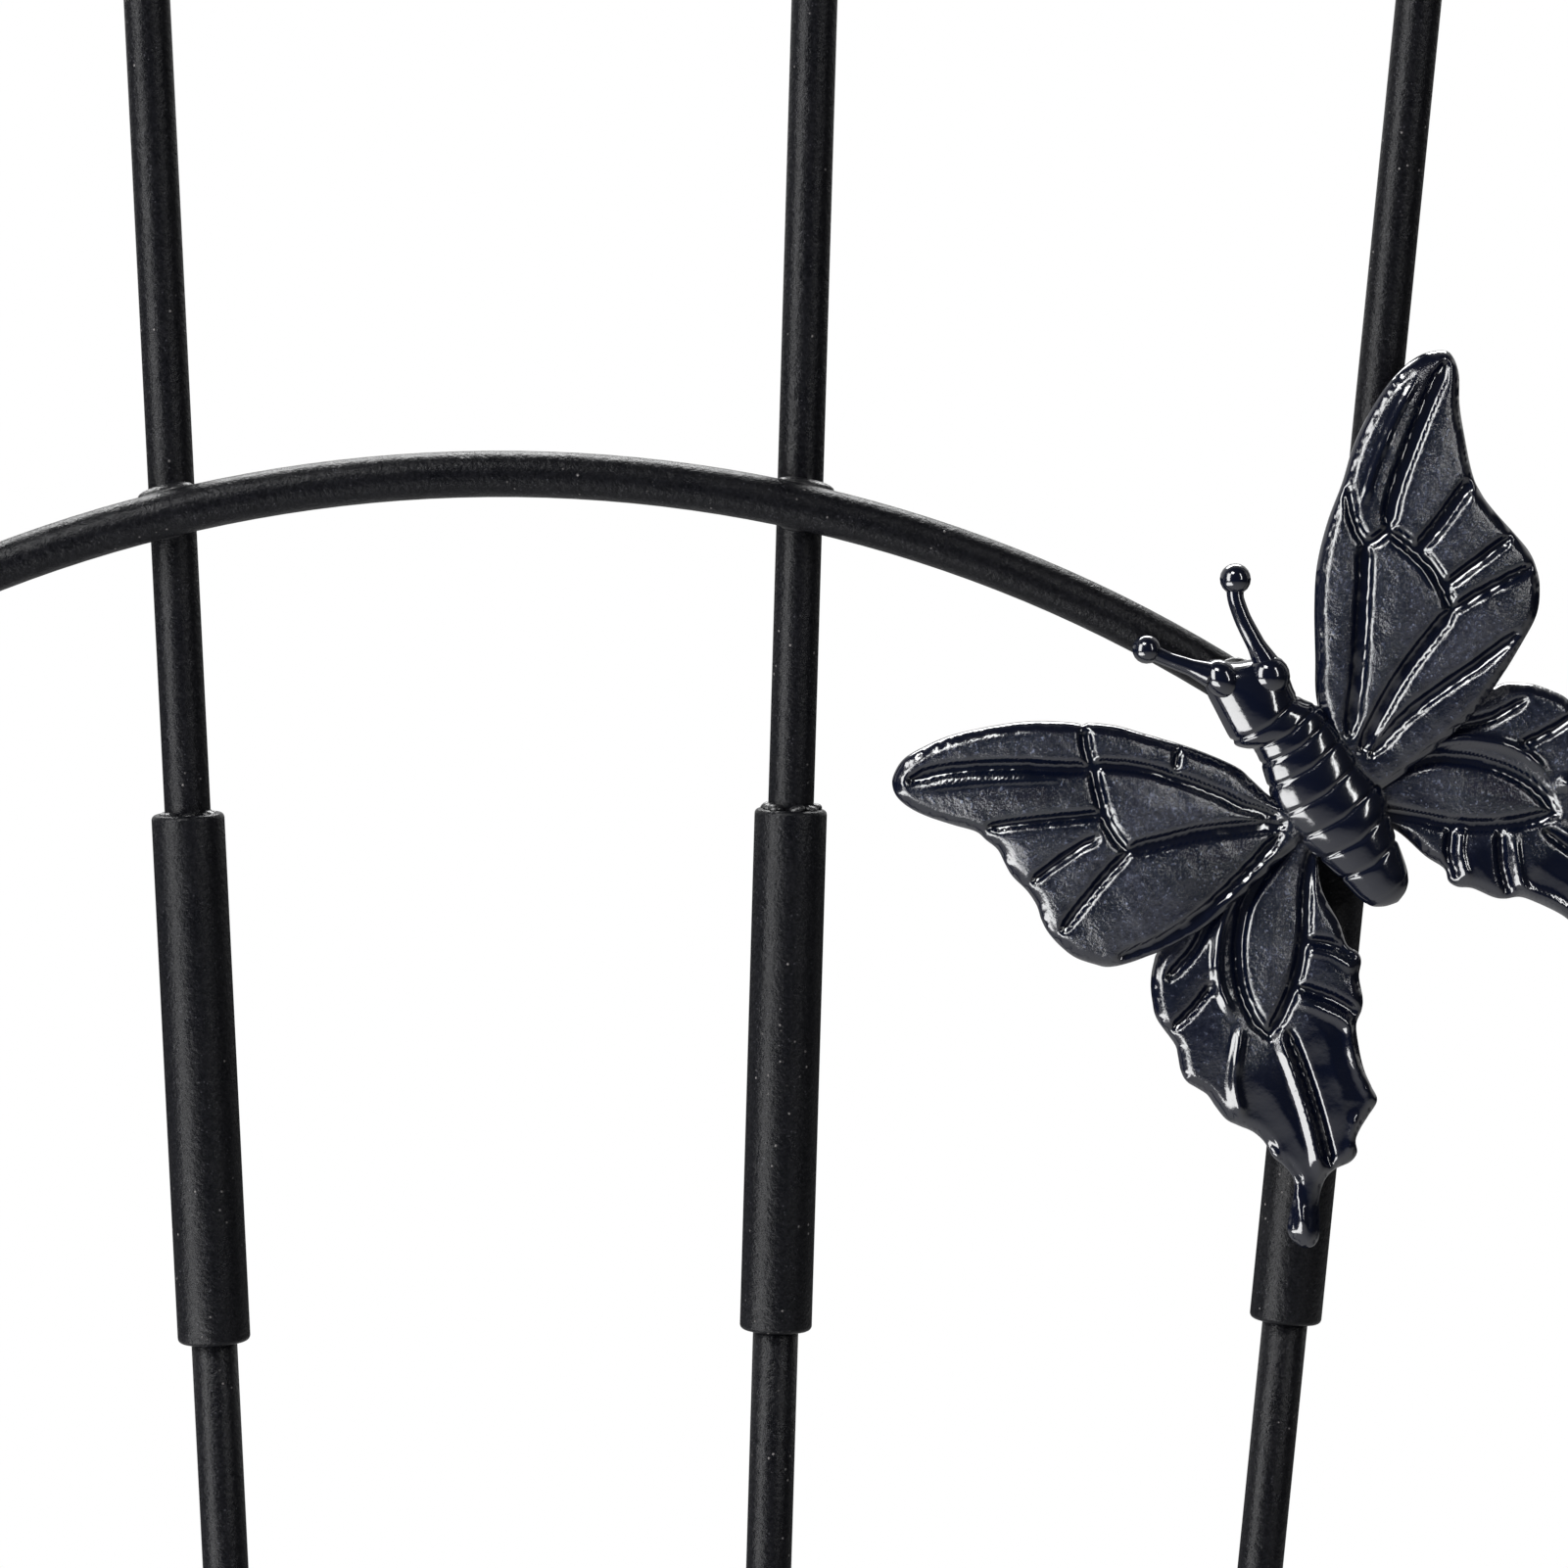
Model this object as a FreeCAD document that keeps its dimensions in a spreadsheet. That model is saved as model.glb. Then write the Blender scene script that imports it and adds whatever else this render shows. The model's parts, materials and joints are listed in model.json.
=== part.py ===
"""Fan-shaped garden trellis with arched braces and cast butterflies.

Four steel tubes fan out from one point below the soil.  The outer pair runs over
the top as one bent hoop, the inner pair ends under it.  Four arched braces lie on
the front of the tubes.  The panel stops just above the lowest quarter: there each
tube is welded into a short sleeve, and a loose ground leg slips into the sleeve
from below.  Cast butterflies are welded to the front.

Frame: millimetres, X across the panel, Z up from the soil line, the front faces -Y.
"""
import math
import os

import FreeCAD
import Part
import Sketcher
from FreeCAD import Placement, Rotation, Vector

DRIVING_SIZES = {
    "tube_diameter": 8.0,
    "tube_wall": 1.0,
    "fan_depth": 1195.0,
    "inner_slope": 0.0357,
    "outer_slope": 0.1011,
    "hoop_centre": 1090.0,
    "first_arch_apex": 334.7,
    "first_arch_radius": 240.4,
    "arch_pitch": 246.0,
    "arch_overrun": 1.5,
    "sleeve_diameter": 12.7,
    "sleeve_bore": 7.7,
    "sleeve_seat": 8.06,
    "sleeve_top": 275.5,
    "sleeve_length": 92.0,
    "sleeve_edge": 0.8,
    "leg_insertion": 45.0,
    "leg_stop_gap": 0.1,
    "leg_depth": 200.0,
    "spigot_diameter": 7.6,
    "spigot_length": 45.5,
    "point_length": 22.0,
    "point_radius": 1.2,
    "rod_weld_gap": 0.1,
    "bead_ring": 4.2,
    "bead_size": 1.5,
    "collar_bead": 1.2,
    "wing_thickness": 3.0,
    "wing_lift": 1.0,
    "antenna_radius": 1.3,
    "antenna_ball": 2.5,
}

doc = FreeCAD.newDocument("trellis")
sheet = doc.addObject("Spreadsheet::Sheet", "dims")
for row, (alias, size) in enumerate(DRIVING_SIZES.items(), start=1):
    sheet.set(f"A{row}", alias)
    sheet.set(f"B{row}", str(size))
    sheet.setAlias(f"B{row}", alias)
doc.recompute()


def dim(alias):
    return float(sheet.get(alias))


TUBE_RADIUS = dim("tube_diameter") / 2
FAN_DEPTH = dim("fan_depth")
SIDES = {"left": -1, "right": 1}
SLOPES = {"inner": dim("inner_slope"), "outer": dim("outer_slope")}
UPRIGHTS = {
    f"{side}_{place}": sign * slope
    for place, slope in SLOPES.items()
    for side, sign in SIDES.items()
}
ARCH_COUNT = 4
ARCH_PLANE = -dim("tube_diameter")
ARCH_FRONT = ARCH_PLANE - TUBE_RADIUS
UPRIGHT_FRONT = -TUBE_RADIUS
FACING_FRONT = Rotation(Vector(1, 0, 0), 90)
BLANK_REACH = 3 * dim("tube_diameter")

HOOP_LEAN = math.atan(SLOPES["outer"])
HOOP_CENTRE = Vector(0, 0, dim("hoop_centre"))
HOOP_RADIUS = (HOOP_CENTRE.z + FAN_DEPTH) * math.sin(HOOP_LEAN)
TUBE_END_HEIGHT = dim("sleeve_top") - dim("sleeve_length") + dim("leg_insertion")

# Casting outlines: (outward from the body's axis, towards the head).
LEFT_FOREWING = [
    (6, 0), (9, 4), (11, 12), (21, 26), (28, 33), (34, 38), (44, 43), (54, 46), (60, 45.5),
    (62.5, 42), (60, 36), (55, 29), (54, 24), (54, 19), (55, 8), (53.5, 1), (50, -3.5),
    (44, -6), (38, -7), (18, -6), (6, -5),
]
RIGHT_FOREWING = [
    (5, 2), (7.5, 14), (16, 26), (23, 35), (37, 45), (49, 51), (55, 51.5), (59, 50), (59, 45),
    (53, 35), (50, 28), (50, 22), (51, 13), (49, 7), (45, 3), (36, -2), (18, -6), (5, -6),
]
LEFT_HINDWING = [
    (6, -1), (22, -3.5), (40, -6.5), (47, -14), (48, -21), (50, -28), (48.5, -36), (45, -45),
    (45, -53), (49.5, -58.5), (51, -62), (49, -65), (46, -63), (42, -58), (38, -56), (33, -56),
    (25, -51), (23.5, -44), (19, -37), (14, -30), (13, -24), (11, -15), (6, -6),
]
RIGHT_HINDWING = [
    (5, -1), (15, -2), (28, -3), (34, -3.5), (37, -5.5), (42, -10), (43, -17), (45, -24),
    (44, -32), (42, -41), (42, -49), (47.5, -55), (49, -58), (47, -61), (44, -60), (40, -55),
    (35.5, -53.5), (31, -54), (22.5, -49), (20.5, -43), (15, -36), (10, -29), (8.5, -23),
    (6, -14), (5, -6),
]
BODY_PROFILE = [
    (0, -24), (4, -23), (6, -19), (7, -13), (8.2, -7), (8.6, 0), (8.4, 6),
    (7.2, 12), (7, 18), (6.8, 23), (6, 27), (0, 28.5),
]
ANTENNAE = {"left": (4.6, 25.0, 12.0, 37.5), "right": (3.4, 23.0, 7.5, 38.5)}
ANTENNA_HEIGHT = 3.4

# Casting places: degrees, and mm from the end of the brace or over the tube.
CASTING_LEAN = 35.0
CASTING_DROP = 6.5
CASTING_STATION = 8.0
CASTING_BEADS = (10.0, 26.0)
CASTING_GAP = 0.02
HOOP_STATION = 40.0
HOOP_BEADS = (-3.0, 3.0)


def named(kind, label):
    item = doc.addObject(kind, label)
    item.Label = label
    return item


def bind(item, **sizes):
    for size, expression in sizes.items():
        item.setExpression(size, expression)
    return item


def cut(label, base, tool):
    result = named("Part::Cut", label)
    result.Base = base
    result.Tool = tool
    return result


def gathered(kind, label, members):
    result = named(kind, label)
    if kind == "Part::Compound":
        result.Links = members
    else:
        result.Shapes = members
    return result


def upright_point(slope, height):
    """Point on an upright's centre line at a height above the soil."""
    return Vector(slope * (height + FAN_DEPTH), 0, height)


def leaning(slope, height):
    """Placement at that height whose Z runs up along the upright."""
    lean = Rotation(Vector(0, 1, 0), math.degrees(math.atan(slope)))
    return Placement(upright_point(slope, height), lean)


def tube_solid(label, slope, height, length, radius):
    """Plain cylinder on an upright's centre line, from a height upwards."""
    solid = bind(named("Part::Cylinder", label), Radius=radius)
    solid.Height = length
    solid.Placement = leaning(slope, height)
    return solid


def ring_segment(label, ring_radius, tube_radius, start, span, centre):
    """Piece of a torus that stands in a plane facing the front."""
    ring = bind(named("Part::Torus", label), Radius2=tube_radius)
    ring.Radius1 = ring_radius
    ring.Angle3 = span
    ring.Placement = Placement(centre, FACING_FRONT * Rotation(Vector(0, 0, 1), start))
    return ring


def origin_plane(body, role):
    return next(plane for plane in body.Origin.OriginFeatures if plane.Role == role)


def flat_sketch(body, name, role="XY_Plane"):
    sketch = body.newObject("Sketcher::SketchObject", name)
    sketch.AttachmentSupport = [(origin_plane(body, role), "")]
    sketch.MapMode = "FlatFace"
    return sketch


def add_circle(sketch, name, radius_expression):
    circle = Part.Circle(Vector(0, 0, 0), Vector(0, 0, 1), 1)
    index = sketch.addGeometry(circle)
    sketch.addConstraint(Sketcher.Constraint("Coincident", index, 3, -1, 1))
    constraint = sketch.addConstraint(Sketcher.Constraint("Radius", index, 1))
    sketch.renameConstraint(constraint, name)
    sketch.setExpression(f"Constraints.{name}", radius_expression)


def padded_ring(label, outer, bore):
    """PartDesign tube: two circles on the XY plane, padded upwards."""
    body = named("PartDesign::Body", label)
    sketch = flat_sketch(body, f"{label}_section")
    add_circle(sketch, "outer", outer)
    add_circle(sketch, "bore", bore)
    pad = body.newObject("PartDesign::Pad", f"{label}_wall")
    pad.Profile = sketch
    return body, pad


def make_outer_hoop():
    """Both outer uprights and the top, bent from one tube."""
    lean = math.degrees(HOOP_LEAN)
    tangent_height = HOOP_CENTRE.z - HOOP_RADIUS * math.sin(HOOP_LEAN)
    run = (tangent_height - TUBE_END_HEIGHT) / math.cos(HOOP_LEAN)
    layers = []
    for layer, radius in {
        "outside": "dims.tube_diameter / 2",
        "bore": "dims.tube_diameter / 2 - dims.tube_wall",
    }.items():
        pieces = [
            tube_solid(f"hoop_{side}_{layer}", sign * SLOPES["outer"], TUBE_END_HEIGHT, run, radius)
            for side, sign in SIDES.items()
        ]
        pieces.append(
            ring_segment(
                f"hoop_top_{layer}", HOOP_RADIUS, radius, -lean, 180 + 2 * lean, HOOP_CENTRE
            )
        )
        layers.append(gathered("Part::MultiFuse", f"hoop_{layer}", pieces))
    return cut("outer_hoop", *layers)


def inner_rod_top(slope):
    """Height where a square-cut inner tube just clears the underside of the hoop."""
    reach = abs(slope) * (HOOP_CENTRE.z + HOOP_RADIUS + FAN_DEPTH) + TUBE_RADIUS
    inside = HOOP_RADIUS - TUBE_RADIUS - dim("rod_weld_gap")
    return HOOP_CENTRE.z + math.sqrt(inside**2 - reach**2)


def make_inner_rod(side):
    slope = SIDES[side] * SLOPES["inner"]
    body, pad = padded_ring(
        f"inner_rod_{side}", "dims.tube_diameter / 2", "dims.tube_diameter / 2 - dims.tube_wall"
    )
    pad.Length = (inner_rod_top(slope) - TUBE_END_HEIGHT) / math.cos(math.atan(slope))
    body.Placement = leaning(slope, TUBE_END_HEIGHT)
    return body


class Arch:
    """Circle of one brace; the radii grow with the distance from the fan's point."""

    def __init__(self, number):
        self.number = number
        self.apex = dim("first_arch_apex") + (number - 1) * dim("arch_pitch")
        growth = (self.apex + FAN_DEPTH) / (dim("first_arch_apex") + FAN_DEPTH)
        self.radius = dim("first_arch_radius") * growth
        self.centre = Vector(0, ARCH_PLANE, self.apex - self.radius)

    def meets(self, slope):
        """Height where the arch's centre line crosses an upright's."""
        drop = self.centre.z + FAN_DEPTH
        a = 1 + slope**2
        b = slope**2 * drop
        c = (slope * drop) ** 2 - self.radius**2
        return self.centre.z + (-b + math.sqrt(b**2 - a * c)) / a

    def end_angle(self):
        """Degrees above horizontal of the end, which runs just past the outer upright."""
        height = self.meets(SLOPES["outer"])
        reach = upright_point(SLOPES["outer"], height).x + dim("arch_overrun")
        return math.degrees(math.acos(reach / self.radius))

    def point(self, angle):
        along = Vector(math.cos(math.radians(angle)), 0, math.sin(math.radians(angle)))
        return self.centre + along * self.radius


ARCHES = [Arch(number) for number in range(1, ARCH_COUNT + 1)]


def make_arch(arch):
    start = arch.end_angle()
    layers = [
        ring_segment(
            f"arch_{arch.number}_{layer}", arch.radius, radius, start, 180 - 2 * start, arch.centre
        )
        for layer, radius in {
            "outside": "dims.tube_diameter / 2",
            "bore": "dims.tube_diameter / 2 - dims.tube_wall",
        }.items()
    ]
    return cut(f"cross_arch_{arch.number}", *layers)


def make_sleeve(name, slope):
    """Half inch tube, bored for the leg below and wider round the upper tube above."""
    label = f"sleeve_{name}"
    body, pad = padded_ring(label, "dims.sleeve_diameter / 2", "dims.sleeve_bore / 2")
    bind(pad, Length="dims.sleeve_length")
    section = flat_sketch(body, f"{label}_seat_section")
    add_circle(section, "seat", "dims.sleeve_seat / 2")
    bind(section, **{"AttachmentOffset.Base.z": "dims.sleeve_length"})
    seat = body.newObject("PartDesign::Pocket", f"{label}_seat")
    seat.Profile = section
    bind(seat, Length="dims.sleeve_length - dims.leg_insertion + dims.leg_stop_gap")
    doc.recompute()
    fillet = body.newObject("PartDesign::Fillet", f"{label}_edges")
    rims = [
        f"Edge{number}"
        for number, edge in enumerate(seat.Shape.Edges, start=1)
        if isinstance(edge.Curve, Part.Circle) and edge.Curve.Radius > dim("sleeve_seat") / 2 + 1
    ]
    fillet.Base = (seat, rims)
    bind(fillet, Radius="dims.sleeve_edge")
    body.Placement = leaning(slope, dim("sleeve_top") - dim("sleeve_length"))
    return body


def make_leg(name, slope):
    """Loose ground leg: slim spigot on top, full tube, lower end swaged to a closed point."""
    label = f"ground_leg_{name}"
    top = TUBE_END_HEIGHT - dim("leg_stop_gap")
    length = (top + dim("leg_depth")) / math.cos(math.atan(slope))
    point = bind(
        named("Part::Cone", f"{label}_point"),
        Radius1="dims.point_radius",
        Radius2="dims.tube_diameter / 2",
        Height="dims.point_length",
    )
    shank = bind(named("Part::Cylinder", f"{label}_shank"), Radius="dims.tube_diameter / 2")
    shank.Height = length - dim("point_length") - dim("spigot_length")
    shank.Placement = Placement(Vector(0, 0, dim("point_length")), Rotation())
    spigot = bind(
        named("Part::Cylinder", f"{label}_spigot"),
        Radius="dims.spigot_diameter / 2",
        Height="dims.spigot_length",
    )
    spigot.Placement = Placement(Vector(0, 0, length - dim("spigot_length")), Rotation())
    bore = bind(
        named("Part::Cylinder", f"{label}_bore"),
        Radius="dims.tube_diameter / 2 - dims.tube_wall",
    )
    bore.Height = length - dim("point_length")
    bore.Placement = shank.Placement
    outside = gathered("Part::MultiFuse", f"{label}_outside", [point, shank, spigot])
    leg = cut(label, outside, bore)
    leg.Placement = leaning(slope, -dim("leg_depth"))
    return leg


def bead_ring(label, centre):
    """Washer of weld metal around the point where two crossing tubes touch."""
    disc = bind(
        named("Part::Cylinder", f"{label}_disc"),
        Radius="dims.bead_ring + dims.bead_size",
        Height="2 * dims.bead_size",
    )
    hole = bind(
        named("Part::Cylinder", f"{label}_hole"),
        Radius="dims.bead_ring - dims.bead_size",
        Height="2 * dims.bead_size",
    )
    ring = cut(label, disc, hole)
    ring.Placement = Placement(centre + Vector(0, dim("bead_size"), 0), FACING_FRONT)
    return ring


def short_tube(label, slope, height):
    """Solid piece of an upright around a height, to shape a weld bead."""
    start = height - BLANK_REACH
    return tube_solid(label, slope, start, 2 * BLANK_REACH, "dims.tube_diameter / 2")


def short_bend(label, radius, centre, point):
    """Solid piece of a bent tube around a point on it, to shape a weld bead."""
    angle = math.degrees(math.atan2(point.z - centre.z, point.x))
    turn = math.degrees(BLANK_REACH / radius)
    return ring_segment(
        label, radius, "dims.tube_diameter / 2", angle - turn, 2 * turn, centre
    )


def make_arch_welds(arch):
    """The four weld beads of one brace, shaped by the tubes that they join."""
    label = f"arch_{arch.number}_welds"
    beads = []
    for name, slope in UPRIGHTS.items():
        crossing = upright_point(slope, arch.meets(slope))
        contact = Vector(crossing.x, UPRIGHT_FRONT, crossing.z)
        ring = bead_ring(f"{label}_{name}_ring", contact)
        brace = short_bend(f"{label}_{name}_brace", arch.radius, arch.centre, crossing)
        tube = short_tube(f"{label}_{name}_tube", slope, crossing.z)
        trimmed = cut(f"{label}_{name}_trimmed", ring, brace)
        beads.append(cut(f"{label}_{name}", trimmed, tube))
    return gathered("Part::Compound", label, beads)


def make_sleeve_weld(name, slope):
    """Fillet of weld metal between a sleeve's top and the tube in it."""
    label = f"sleeve_{name}_weld"
    fillet = bind(
        named("Part::Cone", f"{label}_fillet"),
        Radius1="dims.tube_diameter / 2 + dims.collar_bead",
        Radius2="dims.tube_diameter / 2 + dims.collar_bead / 6",
        Height="dims.collar_bead",
    )
    tube = bind(
        named("Part::Cylinder", f"{label}_tube"),
        Radius="dims.tube_diameter / 2",
        Height="dims.collar_bead",
    )
    weld = cut(label, fillet, tube)
    weld.Placement = leaning(slope, dim("sleeve_top"))
    return weld


def make_rod_weld(side):
    """Weld metal that closes the gap between an inner tube's square end and the hoop."""
    slope = SIDES[side] * SLOPES["inner"]
    label = f"inner_rod_{side}_weld"
    top = inner_rod_top(slope)
    blob = bind(named("Part::Sphere", f"{label}_blob"), Radius="dims.bead_ring + dims.bead_size")
    blob.Placement = Placement(upright_point(slope, top), Rotation())
    hoop = short_bend(f"{label}_hoop", HOOP_RADIUS, HOOP_CENTRE, upright_point(slope, top))
    length = BLANK_REACH / math.cos(math.atan(slope))
    tube = tube_solid(
        f"{label}_tube", slope, top - BLANK_REACH, length, "dims.tube_diameter / 2"
    )
    return cut(label, cut(f"{label}_trimmed", blob, hoop), tube)


def add_outline(sketch, corners):
    """Closed outline of straight sides."""
    for start, end in zip(corners, corners[1:] + corners[:1]):
        sketch.addGeometry(Part.LineSegment(start, end))


def add_wing(body, name, outline, sign):
    """Flat wing plate, tipped forward about the casting's axis."""
    sketch = flat_sketch(body, f"{name}_outline")
    tip_forward = Rotation(Vector(0, 1, 0), -sign * dim("wing_lift"))
    sketch.AttachmentOffset = Placement(Vector(), tip_forward)
    add_outline(sketch, [Vector(sign * out, up, 0) for out, up in outline])
    pad = body.newObject("PartDesign::Pad", name)
    pad.Profile = sketch
    bind(pad, Length="dims.wing_thickness")
    return pad


def add_trunk(body, name):
    """Half-round body with a flat back."""
    sketch = flat_sketch(body, f"{name}_profile")
    add_outline(sketch, [Vector(radius, along, 0) for radius, along in BODY_PROFILE])
    trunk = body.newObject("PartDesign::Revolution", name)
    trunk.Profile = sketch
    trunk.ReferenceAxis = (sketch, ["V_Axis"])
    trunk.Angle = 180
    trunk.Reversed = True
    return trunk


def add_antenna(body, name, foot_out, foot_up, tip_out, tip_up):
    """Thin rod with a ball on its end."""
    foot = Vector(foot_out, foot_up, ANTENNA_HEIGHT)
    tip = Vector(tip_out, tip_up, ANTENNA_HEIGHT)
    rod = body.newObject("PartDesign::AdditiveCylinder", f"{name}_rod")
    bind(rod, Radius="dims.antenna_radius")
    rod.Height = (tip - foot).Length
    rod.Placement = Placement(foot, Rotation(Vector(0, 0, 1), tip - foot))
    ball = body.newObject("PartDesign::AdditiveSphere", f"{name}_ball")
    bind(ball, Radius="dims.antenna_ball")
    ball.Placement = Placement(tip, Rotation())


def make_butterfly(name, centre, lean):
    """One casting: body, four wings and antennae, its flat back on the trellis."""
    label = f"butterfly_{name}"
    body = named("PartDesign::Body", label)
    add_trunk(body, f"{label}_trunk")
    forewings = {"left": LEFT_FOREWING, "right": RIGHT_FOREWING}
    hindwings = {"left": LEFT_HINDWING, "right": RIGHT_HINDWING}
    for side, sign in SIDES.items():
        add_wing(body, f"{label}_forewing_{side}", forewings[side], sign)
        add_wing(body, f"{label}_hindwing_{side}", hindwings[side], sign)
        foot_out, foot_up, tip_out, tip_up = ANTENNAE[side]
        add_antenna(
            body, f"{label}_antenna_{side}", sign * foot_out, foot_up, sign * tip_out, tip_up
        )
    body.Placement = Placement(centre, FACING_FRONT * Rotation(Vector(0, 0, 1), lean))
    return body


def make_butterfly_welds(name, points, centre, radius, back):
    """Beads along the tube under a casting, up to the casting's flat back."""
    label = f"butterfly_{name}_welds"
    beads = []
    for number, point in enumerate(points, start=1):
        contact = Vector(point.x, back, point.z)
        ring = bead_ring(f"{label}_{number}_ring", contact)
        brace = short_bend(f"{label}_{number}_tube", radius, centre, point)
        casting = named("Part::Box", f"{label}_{number}_casting_space")
        casting.Length = casting.Width = casting.Height = BLANK_REACH
        corner = Vector(-BLANK_REACH / 2, -BLANK_REACH, -BLANK_REACH / 2)
        casting.Placement = Placement(contact + corner, Rotation())
        trimmed = cut(f"{label}_{number}_trimmed", ring, brace)
        beads.append(cut(f"{label}_{number}", trimmed, casting))
    return gathered("Part::Compound", label, beads)


def casting_on_arch(name, arch, side):
    """Casting over the end of a brace, its head leaning in over the brace."""
    end = arch.end_angle()

    def station(distance):
        angle = end + math.degrees(distance / arch.radius)
        return arch.point(90 - SIDES[side] * (90 - angle))

    back = ARCH_FRONT - CASTING_GAP
    centre = station(CASTING_STATION)
    centre = Vector(centre.x, back, centre.z - CASTING_DROP)
    points = [station(distance) for distance in CASTING_BEADS]
    return [
        make_butterfly(name, centre, SIDES[side] * CASTING_LEAN),
        make_butterfly_welds(name, points, arch.centre, arch.radius, back),
    ]


def casting_on_hoop(name):
    """Casting on the hoop's right shoulder."""

    def station(angle):
        along = Vector(math.cos(math.radians(angle)), 0, math.sin(math.radians(angle)))
        return HOOP_CENTRE + along * HOOP_RADIUS

    back = UPRIGHT_FRONT - CASTING_GAP
    middle = station(HOOP_STATION)
    points = [station(HOOP_STATION + turn) for turn in HOOP_BEADS]
    return [
        make_butterfly(name, Vector(middle.x, back, middle.z), CASTING_LEAN),
        make_butterfly_welds(name, points, HOOP_CENTRE, HOOP_RADIUS, back),
    ]


nodes = [make_outer_hoop()]
nodes += [make_inner_rod(side) for side in SIDES]
nodes += [make_rod_weld(side) for side in SIDES]
for arch in ARCHES:
    nodes.append(make_arch(arch))
    nodes.append(make_arch_welds(arch))
for name, slope in UPRIGHTS.items():
    nodes.append(make_sleeve(name, slope))
    nodes.append(make_sleeve_weld(name, slope))
    nodes.append(make_leg(name, slope))
nodes += casting_on_arch("low_right", ARCHES[0], "right")
nodes += casting_on_arch("middle_left", ARCHES[2], "left")
nodes += casting_on_hoop("top_right")
doc.recompute()

for item in doc.Objects:
    if "Invalid" in item.State or "Error" in item.State:
        raise RuntimeError(f"{item.Label} failed: {item.State}")
for node in nodes:
    if node.Shape.isNull() or not node.Shape.isValid() or not node.Shape.Solids:
        raise RuntimeError(f"{node.Label} has no valid solid")

os.makedirs("parts", exist_ok=True)
for node in nodes:
    node.Shape.exportStep(f"parts/{node.Label}.step")
    print(f"{node.Label}: {len(node.Shape.Solids)} solids, {node.Shape.Volume:.1f} mm3")
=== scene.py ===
"""Looks of the fan trellis: smooth coated tubes, lumpy welds, cast butterflies.

Metres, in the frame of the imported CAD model: X across the panel, Z up, the front
faces -Y.  Places and sizes come from the frame.
"""

import json
import math

import bmesh
import bpy
import numpy as np
from mathutils import Matrix, Vector


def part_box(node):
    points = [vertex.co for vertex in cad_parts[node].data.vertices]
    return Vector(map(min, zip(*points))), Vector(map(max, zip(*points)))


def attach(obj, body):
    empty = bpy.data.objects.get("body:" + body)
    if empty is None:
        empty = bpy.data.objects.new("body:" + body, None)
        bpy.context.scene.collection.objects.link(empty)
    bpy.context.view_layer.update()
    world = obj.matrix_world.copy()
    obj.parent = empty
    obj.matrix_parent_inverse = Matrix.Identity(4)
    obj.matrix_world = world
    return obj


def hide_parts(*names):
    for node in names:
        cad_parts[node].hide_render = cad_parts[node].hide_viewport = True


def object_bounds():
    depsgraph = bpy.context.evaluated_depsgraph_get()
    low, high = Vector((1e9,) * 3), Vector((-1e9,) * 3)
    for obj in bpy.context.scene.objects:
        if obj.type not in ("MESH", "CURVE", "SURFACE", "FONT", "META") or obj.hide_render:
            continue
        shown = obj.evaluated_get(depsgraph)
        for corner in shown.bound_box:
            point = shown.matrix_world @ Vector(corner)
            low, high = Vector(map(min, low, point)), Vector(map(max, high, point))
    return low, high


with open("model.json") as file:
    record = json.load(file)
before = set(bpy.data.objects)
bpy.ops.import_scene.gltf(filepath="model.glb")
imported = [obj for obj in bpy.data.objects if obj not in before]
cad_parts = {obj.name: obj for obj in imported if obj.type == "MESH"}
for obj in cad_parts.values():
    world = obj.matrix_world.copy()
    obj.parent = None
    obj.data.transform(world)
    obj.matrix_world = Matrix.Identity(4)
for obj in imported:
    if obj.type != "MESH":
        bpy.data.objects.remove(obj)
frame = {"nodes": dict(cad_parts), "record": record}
cad_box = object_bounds()

MM = 0.001
PANEL = "panel"
record = frame["record"]
mounts = {mount["name"]: mount for mount in record["mounts"]}
LEGS = [name for name in record["behaviour"]["bodies"] if name != PANEL]
TUBE_R = mounts[LEGS[0]]["dims"]["r_mm"] * MM
SPIGOT_R = TUBE_R * 0.95
TUBE_SIDES = 48


# ---------------------------------------------------------------- mesh helpers

def new_object(name, verts, faces, material, body, *nodes):
    """Smooth mesh piece that rides on a body and stands for CAD nodes."""
    mesh = bpy.data.meshes.new(name)
    mesh.from_pydata([tuple(v) for v in verts], [], [tuple(f) for f in faces])
    mesh.validate()
    mesh.shade_smooth()
    piece = bpy.data.objects.new(name, mesh)
    bpy.context.scene.collection.objects.link(piece)
    piece.data.materials.append(material)
    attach(piece, body)
    if nodes:
        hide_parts(*nodes)
    return piece


def loft(rings, cap_start=True, cap_end=True):
    """Vertices and faces of a skin over equal rings of points."""
    count = len(rings[0])
    verts = [point for ring in rings for point in ring]
    faces = []
    for row in range(len(rings) - 1):
        for i in range(count):
            j = (i + 1) % count
            a, b = row * count, (row + 1) * count
            faces.append((a + i, a + j, b + j, b + i))
    if cap_start:
        faces.append(tuple(reversed(range(count))))
    if cap_end:
        last = (len(rings) - 1) * count
        faces.append(tuple(range(last, last + count)))
    return verts, faces


def ring_about(centre, along, radius, count=TUBE_SIDES):
    """Circle about a point, square to a direction that lies in the XZ plane."""
    across = Vector((along.z, 0, -along.x)).normalized()
    forward = Vector((0, -1, 0))
    turn = 2 * math.pi / count
    return [
        centre + radius * (math.cos(i * turn) * across + math.sin(i * turn) * forward)
        for i in range(count)
    ]


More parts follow.
